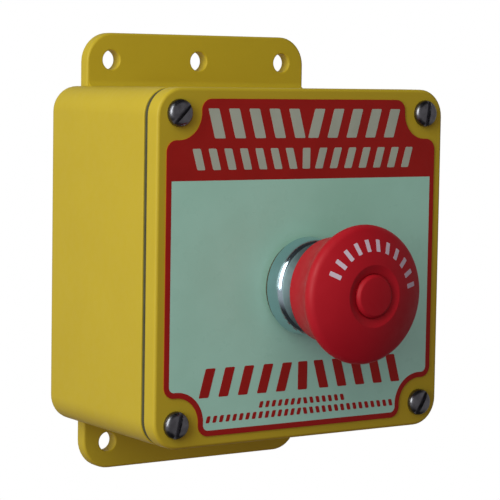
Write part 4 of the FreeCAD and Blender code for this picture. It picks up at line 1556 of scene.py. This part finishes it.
@dataclass
class Stage:
    """White room, pale floor, soft lights and the camera.

    Attributes:
        floor_up: Height of the floor.
        floor_half: Half side of the floor.
        floor_colour: Colour of the floor.
        floor_shade: Factor on that colour where it drifts.
        floor_glow: White of its own that the floor has, as the backdrop.
        side_light: Light of the room from the left to the right.
        low_light: Factor on it from below.
        high_light: Factor on it from above.
        back_light: Light of the room from behind.
        back_side: Factor on the light from behind, towards the right.
        mirror_light: Least light that shiny surfaces see level with them.
        mirror_back: Light that shiny surfaces see behind the object.
        mirror_side: Factor on it towards the right.
        mirror_steep: Factor on what shiny surfaces see, from level to steep.
        warm: Colour of the room's light from below.
        white_back: How white the light is from behind.
        white_high: How white the light is from above.
        lamps: The soft lights.
        aim: Point that the soft lights look at.
        yaw: Turn of the camera from straight ahead, in degrees.
        pitch: How far the camera looks down, in degrees.
        roll: Turn of the camera about its own axis, in degrees.
        reach: Camera to the wall's middle, as right, ahead and up of the turned view.
        lens: Focal length in millimetres.
        sensor: Width of the sensor in millimetres.
        nearest: Least distance that the camera sees.
    """

    floor_up: float = -0.27
    floor_half: float = 0.55
    floor_colour: Triple = (0.80, 0.79, 0.77)
    floor_shade: float = 0.96
    floor_glow: float = 0.35
    side_light: Ramp = Ramp(Axis.X, (-0.85, 0.45), (0.45, 0.08))
    low_light: Ramp = Ramp(Axis.Z, (-0.9, 0.0), (0.75, 1.0))
    high_light: Ramp = Ramp(Axis.Z, (0.3, 1.0), (1.0, 0.6))
    back_light: Ramp = Ramp(Axis.Y, (0.0, 0.6), (0.0, 1.0))
    back_side: Ramp = Ramp(Axis.X, (-0.35, 0.1), (0.0, 1.0))
    mirror_light: float = 0.3
    mirror_back: Ramp = Ramp(Axis.Y, (0.1, 0.9), (0.0, 0.4))
    mirror_side: Ramp = Ramp(Axis.X, (-0.1, 0.5), (1.0, 0.35))
    mirror_steep: Ramp = Ramp(Axis.Z, (0.35, 0.75), (1.0, 0.1))
    warm: Triple = (1.0, 0.58, 0.85)
    white_back: Ramp = Ramp(Axis.Y, (0.0, 0.3), (0.0, 1.0))
    white_high: Ramp = Ramp(Axis.Z, (-0.6, 0.1), (0.0, 1.0))
    lamps: tuple[Lamp, ...] = (
        Lamp("key", (-0.58, -0.24, 0.24), 0.34, 0.62, 3.22, (0.92, 1.0, 0.94)),
        Lamp("top", (-0.22, -0.38, 0.52), 0.50, 0.50, 0.72, (1.0, 0.93, 0.85), mirrored=False),
    )
    aim: Triple = (0.0, -0.04, 0.0)
    yaw: float = 34.728
    pitch: float = 4.85
    roll: float = 0.923
    reach: Triple = (-0.019495, 0.66842, -0.056253)
    lens: float = 151.63
    sensor: float = 36.0
    nearest: float = 0.01

    def build_world(self) -> None:
        """A room that is bright on the left and dim on the right, above and below, before a white backdrop.

        The camera sees white everywhere, and reflections see it behind the object. They also see the room
        darker above and below than it lights the object.
        """
        world = bpy.data.worlds.new("room")
        world.use_nodes = True
        bpy.context.scene.world = world
        nodes = Nodes(world.node_tree)
        split = nodes.add("ShaderNodeSeparateXYZ")
        axes = nodes.feed(split, Vector=nodes.add("ShaderNodeTexCoord").outputs["Generated"]).outputs
        rays = nodes.add("ShaderNodeLightPath").outputs
        shiny = rays["Is Glossy Ray"]

        def along(ramp: Ramp) -> Socket:
            """The number of a ramp in the direction that is looked up."""
            return nodes.ranged(axes[ramp.axis.value], ramp.reach, ramp.values)

        front = nodes.combine(
            Rule.PRODUCT, along(self.low_light), along(self.high_light), along(self.side_light)
        )
        back = nodes.combine(Rule.PRODUCT, along(self.back_light), along(self.back_side))
        room = nodes.combine(Rule.LARGEST, front, back)
        behind = nodes.combine(Rule.PRODUCT, along(self.mirror_back), along(self.mirror_side))
        # This rule reads the first number alone.
        steep = nodes.combine(Rule.WITHOUT_SIGN, axes[self.mirror_steep.axis.value], 0.0)
        level = nodes.ranged(steep, self.mirror_steep.reach, self.mirror_steep.values)
        bright = nodes.combine(Rule.LARGEST, front, behind, self.mirror_light)
        mirrored = nodes.combine(Rule.PRODUCT, bright, level)
        seen = nodes.combine(Rule.LARGEST, rays["Is Camera Ray"], rays["Is Transmission Ray"])
        plain = nodes.combine(Rule.LARGEST, seen, shiny, along(self.white_back), along(self.white_high))
        lit = nodes.mix(Mix.NUMBER, shiny, room, mirrored)
        nodes.feed(
            nodes.tree.nodes["Background"],
            Color=nodes.mix(Mix.COLOUR, plain, (*self.warm, 1.0), (*WHITE, 1.0)),
            Strength=nodes.combine(Rule.LARGEST, seen, lit),
        )

    def build_floor(self) -> None:
        """A plain pale floor below the object."""
        side = self.floor_half
        mesh = bpy.data.meshes.new("floor")
        corners = [(-side, -side), (side, -side), (side, side), (-side, side)]
        mesh.from_pydata([(x, y, self.floor_up) for x, y in corners], [], [(0, 1, 2, 3)])
        floor = bpy.data.objects.new("floor", mesh)
        bpy.context.scene.collection.objects.link(floor)
        shade = tuple(self.floor_shade * part for part in self.floor_colour)
        paint = Finish(
            "floor_paint", self.floor_colour, shade, (0.75, 0.85), patches=8.0, grain=300.0, specular=0.2
        ).material()
        nodes = Nodes(paint.node_tree)
        shader = nodes.tree.nodes["Principled BSDF"]
        nodes.feed(shader, Emission_Color=(*WHITE, 1.0), Emission_Strength=self.floor_glow)
        mesh.materials.append(paint)
        floor.visible_diffuse = False
        floor.visible_glossy = False

    def build_camera(self) -> None:
        """The camera at the photograph's angle: its axes are turned by the yaw, the pitch and the roll."""
        yaw, pitch, roll = (math.radians(turn) for turn in (self.yaw, self.pitch, self.roll))
        right = Vector((math.cos(yaw), -math.sin(yaw), 0.0))
        level = Vector((math.sin(yaw), math.cos(yaw), 0.0))
        upright = Vector((0.0, 0.0, 1.0))
        place = -(right * self.reach[0] + level * self.reach[1] + upright * self.reach[2])
        ahead = level * math.cos(pitch) - upright * math.sin(pitch)
        top = right.cross(ahead)
        across = right * math.cos(roll) + top * math.sin(roll)
        data = bpy.data.cameras.new("camera")
        data.sensor_width, data.lens = self.sensor, self.lens
        data.clip_start = self.nearest
        camera = bpy.data.objects.new("camera", data)
        axes = Matrix((across, across.cross(ahead), -ahead)).transposed()
        camera.matrix_world = Matrix.Translation(place) @ axes.to_4x4()
        bpy.context.scene.collection.objects.link(camera)
        bpy.context.scene.camera = camera

    def build(self) -> None:
        """Makes the room, the floor, the lights and the camera."""
        self.build_world()
        self.build_floor()
        for lamp in self.lamps:
            lamp.build(Vector(self.aim))
        self.build_camera()
        bpy.context.scene.view_settings.view_transform = "Standard"


def dress_nodes(frame: dict) -> None:
    """Gives every CAD node the finish of its slot in the record.

    Args:
        frame: The loaded frame.
    """
    for part in frame["record"]["subparts"]:
        mesh = frame["nodes"][part["node"]].data
        mesh.materials.clear()
        mesh.materials.append(SLOT_FINISHES[part["material_slot"]].material())


def main() -> None:
    """Loads the frame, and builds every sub-assembly and the stage."""
    logging.basicConfig(level=logging.INFO, format="%(name)s %(message)s")
    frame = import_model()
    dress_nodes(frame)
    enclosure = Enclosure()
    enclosure.build()
    Cover().build()
    Label().build()
    CoverScrews().build(enclosure.corner_places())
    Bezel().build()
    Head().build()
    Springs().build(frame["record"])
    Stage().build()


if __name__ == "__main__":
    main()
